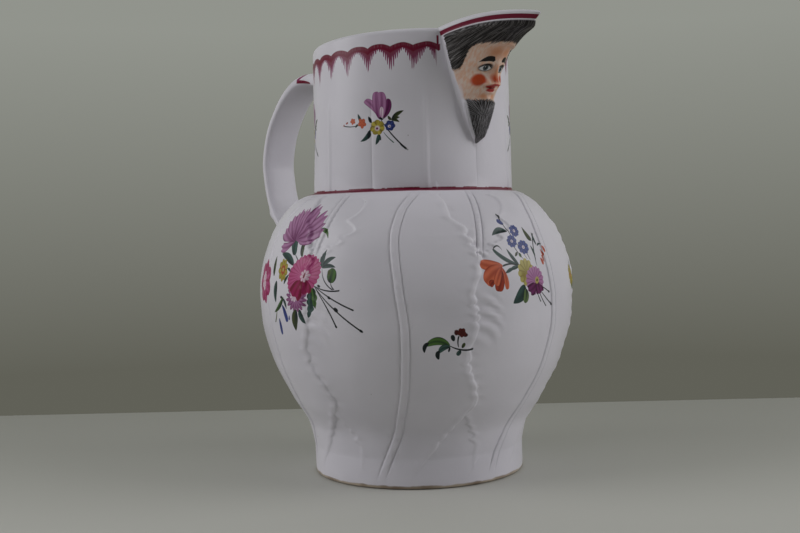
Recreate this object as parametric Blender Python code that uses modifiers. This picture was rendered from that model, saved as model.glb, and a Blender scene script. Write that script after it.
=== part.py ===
"""A glazed earthenware mask jug: a press-moulded vessel with six leaves on its body, a fluted neck, a
beaked spout that carries a bearded mask, and a loop handle. Everything is one fired piece.

Metres, +Z up. The origin is the centre of the flat base, and +X runs out along the spout.
Azimuths are degrees round +Z, counted from the spout."""

import math

import bmesh
import bpy
import numpy as np

# Turned body: heights above the base and radii from the axis
FOOT_RADIUS = 0.0544
FOOT_EDGE = 0.0009
WAIST_HEIGHT = 0.0145
BELLY_HEIGHT = 0.0920
BELLY_RADIUS = 0.0808
SHOULDER_HEIGHT = 0.1440
NECK_RADIUS = 0.0520
MOUTH_RADIUS = 0.0506
RIM_HEIGHT = 0.2193
RIM_SWEEP = 0.0020
WALL = 0.0045
FLOOR_THICKNESS = 0.0065
FLOOR_ROUNDING = 0.0120
RIM_ROUNDING = 0.0021

# Spout, as a beak drawn out of the neck
SPOUT_REACH = 0.0980
SPOUT_HALF_ANGLE = 21.5
BEARD_TIP_HEIGHT = 0.1660
LIP_RISE = 0.0034
LIP_BAND = 0.0046
LIP_WALL = 0.0058
CHANNEL_FOOT_HEIGHT = 0.1850
CHANNEL_HALF_ANGLE = 17.6

# Moulded leaves and flutes
LEAF_COUNT = 6
LEAF_TURN = -42.0
LEAF_RELIEF = 0.0010
LEAF_CREST = 0.0005
EDGE_WIDTH = 0.0010
LAP_WIDTH = 0.0260
CREST_WIDTH = 0.0015
FOOT_FADE = 0.0140
EDGE_LOBES = 13
EDGE_LOBE = 1.3
RIB_HALF_WIDTH = 0.0023
RIB_RELIEF = 0.0005
RIB_GROOVE = 0.0006
SHORT_RIB_TURN = 26.4
SHORT_RIB_SWAY = 23.0
SHORT_RIB_FOOT = 0.76
FLUTE_RELIEF = 0.0008
FLUTE_TOP_HEIGHT = 0.1960
FLUTE_FADE = 0.0140

# Mask, set out on the front of the spout by the usual thirds of a face
HAIRLINE_HEIGHT = 0.2110
CHIN_HEIGHT = 0.1860
FACE_SHARE = 0.86
# The rest of the mask is in thirds of the face, from chin to hairline
EYE_LEVEL = 1.75
FACE_RELIEF = 0.13
NOSE_RELIEF = 0.58
HAIR_RELIEF = 0.12
BEARD_RELIEF = 0.12
# Rounded features: how far each stands out, its place out from the middle, its half width, its level over
# the chin and its half height
MASK_FEATURES = {
    "brow": (0.12, 0.54, 0.41, 2.00, 0.15),
    "eye socket": (-0.20, 0.51, 0.38, EYE_LEVEL, 0.28),
    "eyeball": (0.155, 0.565, 0.25, EYE_LEVEL, 0.15),
    "cheek": (0.17, 0.65, 0.36, 1.10, 0.40),
    "nostril wing": (0.21, 0.28, 0.14, 1.12, 0.15),
    "muzzle": (0.145, 0.0, 0.48, 0.64, 0.42),
    "upper lip": (0.11, 0.0, 0.36, 0.73, 0.08),
    "lower lip": (0.12, 0.0, 0.31, 0.53, 0.09),
    "chin": (0.17, 0.0, 0.41, 0.14, 0.20),
}

# Handle: a strap in an upright plane, a few degrees off the line of the spout
HANDLE_AZIMUTH = 184.0
HANDLE_REACH = 0.1267
HANDLE_CROWN_HEIGHT = 0.2146
HANDLE_TOP_ROOT_HEIGHT = 0.2040
HANDLE_LOW_ROOT_HEIGHT = 0.1040
STRAP_WIDTH = 0.0215
STRAP_THICKNESS = 0.0052
TOP_ROOT_THICKNESS = 0.0190
LOW_ROOT_THICKNESS = 0.0085
ROOT_WIDTH = 0.0250
ROOT_DEPTH = 0.5
SPUR_RELIEF = 0.0026
STRAP_SQUARENESS = 0.6

# Fineness of the solid
COLUMNS = 252
MASK_COLUMNS = 74
ROW_SPACING = 0.0023
MASK_ROW_SPACING = 0.0010
KEPT_SHARE = 0.086
MASK_KEPT_FINE = 0.001
BASE_FLATNESS = 0.0001
HANDLE_STATIONS = 44
STRAP_SIDES = 16

# The swelling from waist to belly, as shares of its height and of its growth in radius
BELLY_SHAPE = ((0.0, 0.0), (0.15, 0.10), (0.33, 0.41), (0.59, 0.78), (0.85, 0.97), (1.0, 1.0))
# The rib's sway in degrees against height as a share of the body, the leaf's right edge past the rib's
# place, and the gap between that edge and the next leaf, which is under 0 where the leaves lap
RIB_SWAY = ((0.0, -17.0), (0.08, -12.5), (0.21, -4.5), (0.39, 0.0), (0.53, 0.7), (0.70, -1.2),
            (0.84, -2.6), (0.92, -0.8), (1.0, 7.0))
LEAF_EDGE = ((0.0, -4.0), (0.08, 5.0), (0.17, 15.0), (0.25, 24.0), (0.31, 27.6), (0.45, 22.0),
             (0.56, 24.5), (0.66, 23.4), (0.76, 26.2), (0.86, 21.8), (0.95, 16.0), (1.0, 15.0))
LEAF_GAP = ((0.0, 38.0), (0.08, 28.0), (0.17, 15.5), (0.25, 1.0), (0.30, -4.0), (0.74, -4.0),
            (0.78, 1.0), (0.84, 13.0), (0.93, 24.5), (1.0, 27.0))
# The spout's front against the height share from beard tip to lip, as shares of its reach past the neck
BEAK_FRONT = ((0.0, 0.0), (0.15, 0.06), (0.30, 0.12), (0.45, 0.185), (0.58, 0.27), (0.69, 0.37),
              (0.78, 0.49), (0.86, 0.69), (0.92, 0.90), (0.96, 0.97), (1.0, 1.0))
CHANNEL_FRONT = ((0.0, 0.0), (0.2, 0.09), (0.4, 0.22), (0.6, 0.39), (0.78, 0.63), (0.9, 0.85), (1.0, 1.0))
# The handle's centre line between its roots, as shares of its reach past the neck and of its height
HANDLE_LINE = ((0.09, 0.955), (0.26, 0.98), (0.40, 1.0), (0.55, 0.986), (0.70, 0.93), (0.83, 0.843),
               (0.93, 0.742), (0.982, 0.64), (1.0, 0.56), (0.986, 0.485), (0.955, 0.39), (0.893, 0.295),
               (0.793, 0.21), (0.656, 0.131), (0.512, 0.061))
SPUR_STATION = 0.72


def smooth_through(points, at):
    """Reads a monotone cubic curve through the (x, y) points at the values in at."""
    x, y = np.array(points, float).T
    step = np.diff(x)
    slope = np.diff(y) / step
    inner = np.where(slope[1:] * slope[:-1] > 0, 2 / (1 / (slope[1:] + 1e-12) + 1 / (slope[:-1] + 1e-12)), 0)
    tangent = np.concatenate([[slope[0]], inner, [slope[-1]]])
    at = np.clip(at, x[0], x[-1])
    k = np.clip(np.searchsorted(x, at, side="right") - 1, 0, len(x) - 2)
    u = (at - x[k]) / step[k]
    start = y[k] * (1 + 2 * u) * (1 - u) ** 2 + y[k + 1] * u**2 * (3 - 2 * u)
    return start + step[k] * (tangent[k] * u * (1 - u) ** 2 - tangent[k + 1] * u**2 * (1 - u))


def bump(distance, width):
    """A smooth hill, 1 at its middle and near 0 at twice its width."""
    return np.exp(-((distance / width) ** 2))


def ramp(value, low, high):
    """0 below low, 1 above high, and smooth between."""
    share = np.clip((value - low) / (high - low), 0, 1)
    return share * share * (3 - 2 * share)


def folded(azimuth, period):
    """The azimuth brought within half a period of 0."""
    return (azimuth + period / 2) % period - period / 2


def body_radius(height):
    """Outer radius of the turned body: foot, swelling belly and rounded shoulder."""
    rise = (height - WAIST_HEIGHT) / (BELLY_HEIGHT - WAIST_HEIGHT)
    lower = FOOT_RADIUS + (BELLY_RADIUS - FOOT_RADIUS) * smooth_through(BELLY_SHAPE, rise)
    fall = np.clip((height - BELLY_HEIGHT) / (SHOULDER_HEIGHT - BELLY_HEIGHT), 0, 1)
    upper = NECK_RADIUS + (BELLY_RADIUS - NECK_RADIUS) * (1 - fall**2) ** 0.62
    return np.where(height < BELLY_HEIGHT, lower, upper)


def neck_radius(share):
    """Outer radius of the neck, from the shoulder at share 0 to the mouth at share 1."""
    return NECK_RADIUS + (MOUTH_RADIUS - NECK_RADIUS) * share


def even_steps(line, spacing):
    """The points of a fine line at even steps along it."""
    length = np.concatenate([[0], np.cumsum(np.linalg.norm(np.diff(line, axis=0), axis=1))])
    count = max(2, round(length[-1] / spacing))
    at = np.linspace(0, length[-1], count + 1)
    return np.stack([np.interp(at, length, line[:, k]) for k in (0, 1)], axis=1)


def outward(line):
    """Unit normals of a profile that runs upward on the outside, pointing away from the axis."""
    along = np.gradient(line, axis=0)
    along /= np.linalg.norm(along, axis=1, keepdims=True)
    return np.stack([along[:, 1], -along[:, 0]], axis=1)


def body_profile(spacing):
    """(radius, height) rows of the outer body from its foot up to the neck."""
    height = SHOULDER_HEIGHT * (1 - np.linspace(1, 0, 1500) ** 2)
    height = height[height > FOOT_EDGE]
    fine = np.stack([body_radius(height), height], axis=1)
    edge = [(FOOT_RADIUS - FOOT_EDGE, 0.0), (FOOT_RADIUS - FOOT_EDGE * 0.3, FOOT_EDGE * 0.3)]
    return np.concatenate([edge, even_steps(fine, spacing)])


def rib_relief(across, half_width):
    """A flat raised rib with an incised line down each side, by the distance across it."""
    band = RIB_RELIEF * (1 - ramp(abs(across), half_width * 0.75, half_width * 1.05))
    return band - RIB_GROOVE * bump(abs(across) - half_width * 1.25, half_width * 0.3)


def leaf_relief(azimuth, height):
    """How far the moulded leaves stand out. Six leaves stand side by side, each with a swaying rib. The
    ragged right edge of each laps over the next, and the two draw apart above and below, where a short rib
    shows between them at the top."""
    share = height / SHOULDER_HEIGHT
    per_degree = np.radians(1) * body_radius(height)
    sector = 360 / LEAF_COUNT
    lobes = abs(np.sin(share * EDGE_LOBES * math.pi)) ** 0.6 + 0.3 * np.sin(share * 97 + 1) - 0.6
    lobes = EDGE_LOBE * lobes
    past_edge = (azimuth - LEAF_TURN - smooth_through(LEAF_EDGE, share) - lobes) % sector
    beyond = folded(past_edge, sector) * per_degree
    into_next = (past_edge - smooth_through(LEAF_GAP, share) - 2 * lobes) * per_degree
    lap = 1 - ramp(beyond, 0, EDGE_WIDTH)
    own = ramp(into_next, -0.5 * EDGE_WIDTH, 0.7 * EDGE_WIDTH)
    leaf = 0.45 * np.maximum(lap, own) + 0.55 * lap * ramp(beyond, -LAP_WIDTH, 0)
    crest = bump(beyond + CREST_WIDTH, CREST_WIDTH)
    crest = crest + 0.8 * bump(into_next - CREST_WIDTH, CREST_WIDTH) * (past_edge < sector / 2)
    rib_across = folded(azimuth - LEAF_TURN - smooth_through(RIB_SWAY, share), sector) * per_degree
    short_turn = LEAF_TURN + SHORT_RIB_TURN + SHORT_RIB_SWAY * (share - SHORT_RIB_FOOT)
    short_across = folded(azimuth - short_turn, sector) * per_degree
    short = rib_relief(short_across, RIB_HALF_WIDTH * 0.75) * ramp(
        share, SHORT_RIB_FOOT, SHORT_RIB_FOOT + 0.06)
    fade = ramp(height, 0.2 * FOOT_FADE, FOOT_FADE) * (1 - ramp(share, 0.965, 1.0))
    return fade * (LEAF_RELIEF * leaf + LEAF_CREST * crest + rib_relief(rib_across, RIB_HALF_WIDTH) + short)


def flute_relief(azimuth, height):
    """Six rounded flutes on the neck, each with a thin ridge up its middle."""
    sector = 360 / LEAF_COUNT
    lobe = abs(np.sin(np.radians(azimuth * LEAF_COUNT / 2))) ** 0.4 - 1
    ridge = 0.6 * bump(folded(azimuth - sector / 2, sector), 1.3)
    return FLUTE_RELIEF * (lobe + ridge) * (1 - ramp(height, FLUTE_TOP_HEIGHT - FLUTE_FADE, FLUTE_TOP_HEIGHT))


def rim_height(azimuth):
    """Height of the rim, which sweeps up towards the spout."""
    return RIM_HEIGHT + RIM_SWEEP * np.cos(np.radians(azimuth))


def section_radius(azimuth, half_angle, base_radius, front, power, root):
    """Radius at an azimuth of a beak's level section. The section is a half width of v times the edge's,
    with the front (1 - |v|^power)^root of the way from the edge to the tip. Found by halving."""
    edge_across = base_radius * np.sin(np.radians(half_angle))
    edge_out = base_radius * np.cos(np.radians(half_angle))
    slope = np.tan(np.radians(np.minimum(abs(azimuth), 80)))
    low, high = np.zeros(np.shape(slope + edge_across)), np.ones(np.shape(slope + edge_across))
    for _ in range(32):
        v = (low + high) / 2
        out = edge_out + (front - edge_out) * (1 - v**power) ** root
        inside = edge_across * v < slope * out
        low, high = np.where(inside, v, low), np.where(inside, high, v)
    out = edge_out + (front - edge_out) * (1 - low**power) ** root
    radius = np.hypot(out, edge_across * low)
    return np.where(abs(azimuth) < half_angle, np.maximum(radius, base_radius), base_radius)


def beak_share(height):
    """0 at the beard's tip and 1 at the lip."""
    lip = RIM_HEIGHT + RIM_SWEEP
    return np.clip((height - BEARD_TIP_HEIGHT) / (lip - BEARD_TIP_HEIGHT), 0, 1)


def beak_half_angle(up):
    """Half the angle that the spout takes of the neck, from its tip below (up 0) to the lip (up 1)."""
    return SPOUT_HALF_ANGLE * np.maximum(up, 1e-6) ** 0.62


def outer_neck(azimuth, share):
    """Outer radius of neck and spout, without the mask's features."""
    height = SHOULDER_HEIGHT + share * (rim_height(azimuth) - SHOULDER_HEIGHT)
    round_neck = neck_radius(share)
    up = beak_share(height)
    front = round_neck + (SPOUT_REACH - MOUTH_RADIUS) * smooth_through(BEAK_FRONT, up)
    half_angle = beak_half_angle(up)
    power = 2.0 - 0.75 * ramp(up, 0.5, 0.95)
    root = 0.85 - 0.225 * ramp(up, 0.5, 0.95)
    return section_radius(azimuth, half_angle, round_neck, front, power, root)


def inner_neck(azimuth, share):
    """Inner radius of neck and pouring channel."""
    height = SHOULDER_HEIGHT + share * (rim_height(azimuth) - SHOULDER_HEIGHT)
    round_neck = neck_radius(share) - WALL
    up = np.clip((height - CHANNEL_FOOT_HEIGHT) / (RIM_HEIGHT + RIM_SWEEP - CHANNEL_FOOT_HEIGHT), 0, 1)
    reach = SPOUT_REACH - LIP_WALL - (MOUTH_RADIUS - WALL)
    front = round_neck + reach * smooth_through(CHANNEL_FRONT, up)
    half_angle = CHANNEL_HALF_ANGLE * np.maximum(up, 1e-6) ** 0.6
    return section_radius(azimuth, half_angle, round_neck, front, 1.5, 0.65)


def lip_rise(radius):
    """How far the spout's lip arches over the rim, by its distance from the axis."""
    share = np.clip((radius - MOUTH_RADIUS) / (SPOUT_REACH - MOUTH_RADIUS), 0, 1)
    return LIP_RISE * np.sin(math.pi * 0.85 * share)


def frame_half_width(height):
    """Half the width of the V-shaped frame round the mask, at a height."""
    return MOUTH_RADIUS * np.sin(np.radians(beak_half_angle(beak_share(height))))


def mask_relief(points):
    """How far the mask stands out of the spout's points. The face is a raised shield with a wedge nose and
    rounded features set out in thirds, with hair above it and a pointed beard below."""
    out, across, height = np.moveaxis(points, -1, 0)
    top = RIM_HEIGHT + RIM_SWEEP + lip_rise(np.hypot(out, across)) - LIP_BAND
    third = (HAIRLINE_HEIGHT - CHIN_HEIGHT) / 3
    side, up = abs(across) / third, (height - CHIN_HEIGHT) / third
    features = 0
    for relief, centre, wide, level, tall in MASK_FEATURES.values():
        features = features + relief * bump(side - centre, wide) * bump(up - level, tall)
    down_nose = np.clip(2 - up, 0, 1)
    nose = NOSE_RELIEF * (0.22 + 0.78 * down_nose) * bump(side, 0.15 + 0.13 * down_nose)
    features = features + nose * ramp(up, 0.84, 1.12) * (1 - ramp(up, 1.85, 2.35))

    half = np.maximum(frame_half_width(height) * FACE_SHARE / third, 0.05)
    edge = 1 - ramp(side / half, 0.84, 1.08)
    hairline = 3 - (3 - EYE_LEVEL) * ramp(side / half, 0.62, 0.96)
    over = ramp(up - hairline, -0.07, 0.07)
    below_band = 1 - ramp((height - top) / third, -0.14, 0.09)
    under = 1 - ramp(up, -0.05, 0.17)
    above_tip = ramp((height - BEARD_TIP_HEIGHT) / third, 0, 0.55)
    hair, beard = HAIR_RELIEF * over, BEARD_RELIEF * under
    return third * edge * below_band * above_tip * (
        FACE_RELIEF + features * (1 - over) * (1 - under) + hair + beard)


def row_shares():
    """Height shares of the neck's rows: open below the beard, close over the mask."""
    lip = RIM_HEIGHT + RIM_SWEEP - RIM_ROUNDING
    tall = RIM_HEIGHT + RIM_SWEEP - SHOULDER_HEIGHT
    below = np.linspace(0, BEARD_TIP_HEIGHT - SHOULDER_HEIGHT, 8)[1:]
    count = round((lip - BEARD_TIP_HEIGHT) / MASK_ROW_SPACING)
    over = np.linspace(BEARD_TIP_HEIGHT, lip, count + 1)[1:] - SHOULDER_HEIGHT
    return np.concatenate([below, over]) / tall


def column_azimuths():
    """Azimuths of the skin's columns, from -180 degrees up, closer together over the mask."""
    front = np.linspace(-SPOUT_HALF_ANGLE, SPOUT_HALF_ANGLE, MASK_COLUMNS)
    side = np.linspace(SPOUT_HALF_ANGLE, 180, (COLUMNS - MASK_COLUMNS) // 2 + 2)[1:]
    return np.concatenate([-side[::-1], front, side[:-1]])


def vessel_grid():
    """The vessel's skin as rows of points round the axis, from inside on the floor, up the inner wall, over
    the rim and down the outside to the edge of the base."""
    azimuth = column_azimuths()[None, :]
    cos, sin = np.cos(np.radians(azimuth)), np.sin(np.radians(azimuth))

    def points(radius, height):
        radius, height, _ = np.broadcast_arrays(radius, height, azimuth)
        return np.stack([radius * cos, radius * sin, height], axis=-1)

    profile = body_profile(ROW_SPACING)
    normal = outward(profile)
    radius, height = profile[:, :1], profile[:, 1:]
    relief = leaf_relief(azimuth, height)
    body = points(radius + normal[:, :1] * relief, height + normal[:, 1:] * relief)

    share = row_shares()[:, None]
    radius = outer_neck(azimuth, share)
    top = rim_height(azimuth) + lip_rise(radius) * ramp(share, 0.7, 1.0)
    height = SHOULDER_HEIGHT + share * (top - SHOULDER_HEIGHT)
    radius = radius + flute_relief(azimuth, height) * (radius < neck_radius(share) + 1e-6)
    neck = points(radius, height)
    along = np.cross(np.gradient(neck, axis=1), np.gradient(neck, axis=0))
    along /= np.linalg.norm(along, axis=2, keepdims=True)
    on_mask = (abs(azimuth) < SPOUT_HALF_ANGLE * 1.2) & (height > BEARD_TIP_HEIGHT)
    neck = neck + along * (mask_relief(neck) * on_mask)[..., None]

    outer, inner = outer_neck(azimuth, 1.0), inner_neck(azimuth, 1.0)
    top = rim_height(azimuth) + lip_rise(outer)
    turn = np.radians(np.linspace(0, 180, 7))[1:-1, None]
    rim = points((outer + inner) / 2 + (outer - inner) / 2 * np.cos(turn),
                 top - RIM_ROUNDING + RIM_ROUNDING * np.sin(turn))

    share = row_shares()[::-4, None]
    radius = inner_neck(azimuth, share)
    top = rim_height(azimuth) + lip_rise(radius) * ramp(share, 0.7, 1.0)
    throat = points(radius, SHOULDER_HEIGHT + share * (top - SHOULDER_HEIGHT))

    inside = (profile - outward(profile) * WALL)[::-2]
    above_floor = inside[:, 1] > FLOOR_THICKNESS + FLOOR_ROUNDING
    inside = inside[above_floor & (inside[:, 0] > (NECK_RADIUS - WALL) * 1.004)]
    turn = np.radians(np.linspace(0, 90, 5))[1:, None]
    rounding = np.concatenate([inside[-1, 0] - FLOOR_ROUNDING * (1 - np.cos(turn)),
                               FLOOR_THICKNESS + FLOOR_ROUNDING * (1 - np.sin(turn))], axis=1)
    inside = np.concatenate([inside, rounding])
    cavity = points(inside[:, :1], inside[:, 1:])
    rows = np.concatenate([body, neck, rim, throat, cavity])
    return rows[::-1]


def clear_scene():
    """Empties the scene of every object."""
    for obj in list(bpy.data.objects):
        bpy.data.objects.remove(obj)


def glaze():
    """White tin glaze, cool in colour, with a soft gloss."""
    material = bpy.data.materials.new("white_glaze")
    material.use_nodes = True
    shader = material.node_tree.nodes["Principled BSDF"]
    shader.inputs["Base Color"].default_value = (0.72, 0.72, 0.76, 1)
    shader.inputs["Roughness"].default_value = 0.28
    shader.inputs["Metallic"].default_value = 0.0
    return material


def made_mesh(obj):
    """Applies the object's modifiers, so that its mesh is the shape they give."""
    graph = bpy.context.evaluated_depsgraph_get()
    mesh = bpy.data.meshes.new_from_object(obj.evaluated_get(graph))
    obj.modifiers.clear()
    obj.data = mesh


def close_ends(mesh):
    """Closes the two open rings of a turned mesh with flat discs."""
    solid = bmesh.new()
    solid.from_mesh(mesh)
    bmesh.ops.holes_fill(solid, edges=[edge for edge in solid.edges if edge.is_boundary], sides=0)
    bmesh.ops.triangulate(solid, faces=solid.faces)
    bmesh.ops.recalc_face_normals(solid, faces=solid.faces)
    solid.to_mesh(mesh)
    solid.free()


def kept_fine(vessel):
    """Names the vertex group that keeps the mask's mesh finer than the rest when the skin is thinned."""
    group = vessel.vertex_groups.new(name="thinned")
    mask, rest = [], []
    for vertex in vessel.data.vertices:
        x, y, z = vertex.co
        turned_to = abs(math.degrees(math.atan2(y, x)))
        in_front = z > BEARD_TIP_HEIGHT and turned_to < SPOUT_HALF_ANGLE and math.hypot(x, y) > MOUTH_RADIUS
        (mask if in_front and z < RIM_HEIGHT else rest).append(vertex.index)
    group.add(rest, 1.0, "REPLACE")
    group.add(mask, 0.5, "REPLACE")
    return group.name


def turned_vessel(collection):
    """The vessel: its profile is turned with a Screw modifier, then pressed into the moulded shape. The
    dense skin is thinned where it is smooth, and its base is set flat."""
    grid = vessel_grid()
    plain = grid[:, 0]
    mesh = bpy.data.meshes.new("vessel")
    profile = [(math.hypot(x, y), 0.0, z) for x, y, z in plain.tolist()]
    mesh.from_pydata(profile, [(k, k + 1) for k in range(len(profile) - 1)], [])
    vessel = bpy.data.objects.new("mask_jug", mesh)
    collection.objects.link(vessel)
    turn = vessel.modifiers.new("turn", "SCREW")
    turn.steps = turn.render_steps = COLUMNS
    turn.use_merge_vertices = False
    made_mesh(vessel)

    pressed = grid.transpose(1, 0, 2).reshape(-1, 3)
    vessel.data.vertices.foreach_set("co", pressed.astype(np.float32).ravel())
    vessel.data.update()
    close_ends(vessel.data)
    thin = vessel.modifiers.new("thin", "DECIMATE")
    thin.ratio = KEPT_SHARE
    thin.vertex_group = kept_fine(vessel)
    thin.vertex_group_factor = MASK_KEPT_FINE
    made_mesh(vessel)
    for vertex in vessel.data.vertices:
        if vertex.co.z < BASE_FLATNESS:
            vertex.co.z = 0.0
    return vessel


def handle_line():
    """(distance from the axis, height) of the handle's centre line, from its upper to its lower root."""
    reach = HANDLE_REACH - STRAP_THICKNESS / 2
    crown = HANDLE_CROWN_HEIGHT - STRAP_THICKNESS / 2
    inside = WALL * ROOT_DEPTH
    low_wall = float(body_radius(np.array(HANDLE_LOW_ROOT_HEIGHT)))
    line = [(MOUTH_RADIUS - inside, HANDLE_TOP_ROOT_HEIGHT)]
    tall = crown - HANDLE_LOW_ROOT_HEIGHT
    line += [(MOUTH_RADIUS + share * (reach - MOUTH_RADIUS), HANDLE_LOW_ROOT_HEIGHT + lift * tall)
             for share, lift in HANDLE_LINE]
    line.append((low_wall - inside, HANDLE_LOW_ROOT_HEIGHT))
    knots = np.array(line)
    length = np.concatenate([[0], np.cumsum(np.linalg.norm(np.diff(knots, axis=0), axis=1))])
    at = np.linspace(0, length[-1], HANDLE_STATIONS)
    return spline_through(length, knots, at)


def spline_through(length, knots, at):
    """A smooth (Catmull-Rom) curve through the knots, read at the given lengths along it."""
    tangent = np.gradient(knots, length, axis=0)
    k = np.clip(np.searchsorted(length, at, side="right") - 1, 0, len(length) - 2)
    step = (length[k + 1] - length[k])[:, None]
    u = (at - length[k])[:, None] / step
    start, end = knots[k], knots[k + 1]
    curve = start * (1 + 2 * u) * (1 - u) ** 2 + end * u**2 * (3 - 2 * u)
    return curve + step * (tangent[k] * u * (1 - u) ** 2 - tangent[k + 1] * u**2 * (1 - u))


def strap_handle(collection):
    """The handle: a rounded strap lofted along its line, thicker and wider at both roots, with two shallow
    reeds and a small spur low on its back."""
    line = handle_line()
    share = np.linspace(0, 1, HANDLE_STATIONS)
    along = np.gradient(line, axis=0)
    normal = np.stack([-along[:, 1], along[:, 0]], axis=1)
    upright = np.stack([np.zeros_like(share), np.where(share < 0.5, 1.0, -1.0)], axis=1)
    normal /= np.linalg.norm(normal, axis=1, keepdims=True)
    at_root = np.maximum(1 - share / 0.08, np.maximum(1 - (1 - share) / 0.12, 0))[:, None]
    normal = normal * (1 - at_root) + upright * at_root
    normal /= np.linalg.norm(normal, axis=1, keepdims=True)

    top_flare, low_flare = np.exp(-share / 0.09), np.exp(-(1 - share) / 0.05)
    thick = STRAP_THICKNESS + (TOP_ROOT_THICKNESS - STRAP_THICKNESS) * top_flare
    thick = thick + (LOW_ROOT_THICKNESS - STRAP_THICKNESS) * low_flare
    wide = STRAP_WIDTH + (ROOT_WIDTH - STRAP_WIDTH) * np.maximum(top_flare, low_flare)
    turn = (np.arange(STRAP_SIDES) + 0.5) / STRAP_SIDES * 2 * math.pi
    across = (np.sign(np.cos(turn)) * abs(np.cos(turn)) ** STRAP_SQUARENESS)[None, :] * wide[:, None] / 2
    raised = (np.sign(np.sin(turn)) * abs(np.sin(turn)) ** STRAP_SQUARENESS)[None, :] * thick[:, None] / 2
    spur = SPUR_RELIEF * np.exp(-(((share - SPUR_STATION) / 0.018) ** 2))
    raised = raised + spur[:, None] * (np.sin(turn) > 0)[None, :]

    out = line[:, :1] + normal[:, :1] * raised
    height = line[:, 1:] + normal[:, 1:] * raised
    plane = math.radians(HANDLE_AZIMUTH)
    x = out * math.cos(plane) - across * math.sin(plane)
    y = out * math.sin(plane) + across * math.cos(plane)
    verts = np.stack([x, y, height], axis=-1).reshape(-1, 3)
    faces = [tuple(range(STRAP_SIDES)), tuple(range(len(verts) - 1, len(verts) - 1 - STRAP_SIDES, -1))]
    for station in range(HANDLE_STATIONS - 1):
        for side in range(STRAP_SIDES):
            low, high = station * STRAP_SIDES, (station + 1) * STRAP_SIDES
            beside = (side + 1) % STRAP_SIDES
            faces.append((low + side, high + side, high + beside, low + beside))
    mesh = bpy.data.meshes.new("handle")
    mesh.from_pydata(verts.tolist(), [], faces)
    solid = bmesh.new()
    solid.from_mesh(mesh)
    bmesh.ops.recalc_face_normals(solid, faces=solid.faces)
    solid.to_mesh(mesh)
    solid.free()
    handle = bpy.data.objects.new("handle", mesh)
    handle.hide_render = True
    handle.display_type = "WIRE"
    collection.objects.link(handle)
    return handle


def join(target, piece):
    """Unites the piece with the target, as one fired body."""
    union = target.modifiers.new("join_" + piece.name, "BOOLEAN")
    union.operation = "UNION"
    union.solver = "EXACT"
    union.object = piece


clear_scene()
parts = bpy.data.collections.new("mask_jug")
joined = bpy.data.collections.new("joined_pieces")
for group in (parts, joined):
    bpy.context.scene.collection.children.link(group)
jug = turned_vessel(parts)
join(jug, strap_handle(joined))
jug.data.materials.append(glaze())
jug.data.shade_smooth()
jug.data.set_sharp_from_angle(angle=math.radians(50))
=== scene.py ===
"""Looks of the mask jug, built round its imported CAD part: the finely moulded vessel with its handle, the
painted enamels and the photograph's table and light.

Metres, +Z up. The origin is the centre of the flat base, and +X runs out along the spout. Azimuths are
degrees round +Z, counted from the spout. A painted mark's place is in mm on a flat chart of its patch."""

import math

import bmesh
import bpy
import numpy as np
from bpy.props import FloatProperty, FloatVectorProperty, IntProperty, PointerProperty
from mathutils import Matrix, Vector


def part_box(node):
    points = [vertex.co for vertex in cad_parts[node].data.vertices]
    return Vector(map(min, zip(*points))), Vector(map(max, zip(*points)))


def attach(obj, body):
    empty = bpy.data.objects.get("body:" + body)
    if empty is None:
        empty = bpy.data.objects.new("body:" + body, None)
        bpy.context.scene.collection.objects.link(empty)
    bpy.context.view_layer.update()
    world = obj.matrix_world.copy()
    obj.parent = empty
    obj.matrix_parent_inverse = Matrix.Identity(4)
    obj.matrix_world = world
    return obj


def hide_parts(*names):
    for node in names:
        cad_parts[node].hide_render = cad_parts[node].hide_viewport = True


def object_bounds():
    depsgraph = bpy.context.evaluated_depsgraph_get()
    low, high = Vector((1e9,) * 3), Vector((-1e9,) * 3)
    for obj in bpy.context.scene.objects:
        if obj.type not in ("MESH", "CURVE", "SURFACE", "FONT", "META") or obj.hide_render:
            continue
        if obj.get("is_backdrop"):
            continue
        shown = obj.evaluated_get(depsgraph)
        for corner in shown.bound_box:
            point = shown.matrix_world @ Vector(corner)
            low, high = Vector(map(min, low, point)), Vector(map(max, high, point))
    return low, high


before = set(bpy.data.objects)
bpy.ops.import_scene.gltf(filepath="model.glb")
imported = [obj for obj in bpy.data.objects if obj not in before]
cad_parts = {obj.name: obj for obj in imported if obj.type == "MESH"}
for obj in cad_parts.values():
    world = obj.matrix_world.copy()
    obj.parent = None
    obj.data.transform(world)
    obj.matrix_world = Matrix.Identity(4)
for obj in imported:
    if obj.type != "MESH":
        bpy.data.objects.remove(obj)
FRAME_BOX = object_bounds()
JUG_LOW, JUG_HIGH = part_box("mask_jug")
# How far the jug's points stay inside the CAD part's box, and a number that keeps a division safe
BOX_GAP = 0.00003
TINY = 1e-12

bl_info = {
    "name": "Mask jug",
    "version": (1, 0, 0),
    "blender": (4, 5, 0),
    "location": "3D View > Sidebar > Mask jug",
    "description": "Builds a moulded and painted mask jug round its CAD frame",
    "category": "Object",
}

# The swelling from waist to belly, as shares of its height and of its growth in radius
BELLY_SHAPE = ((0.0, 0.0), (0.15, 0.10), (0.33, 0.41), (0.59, 0.78), (0.85, 0.97), (1.0, 1.0))
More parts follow.
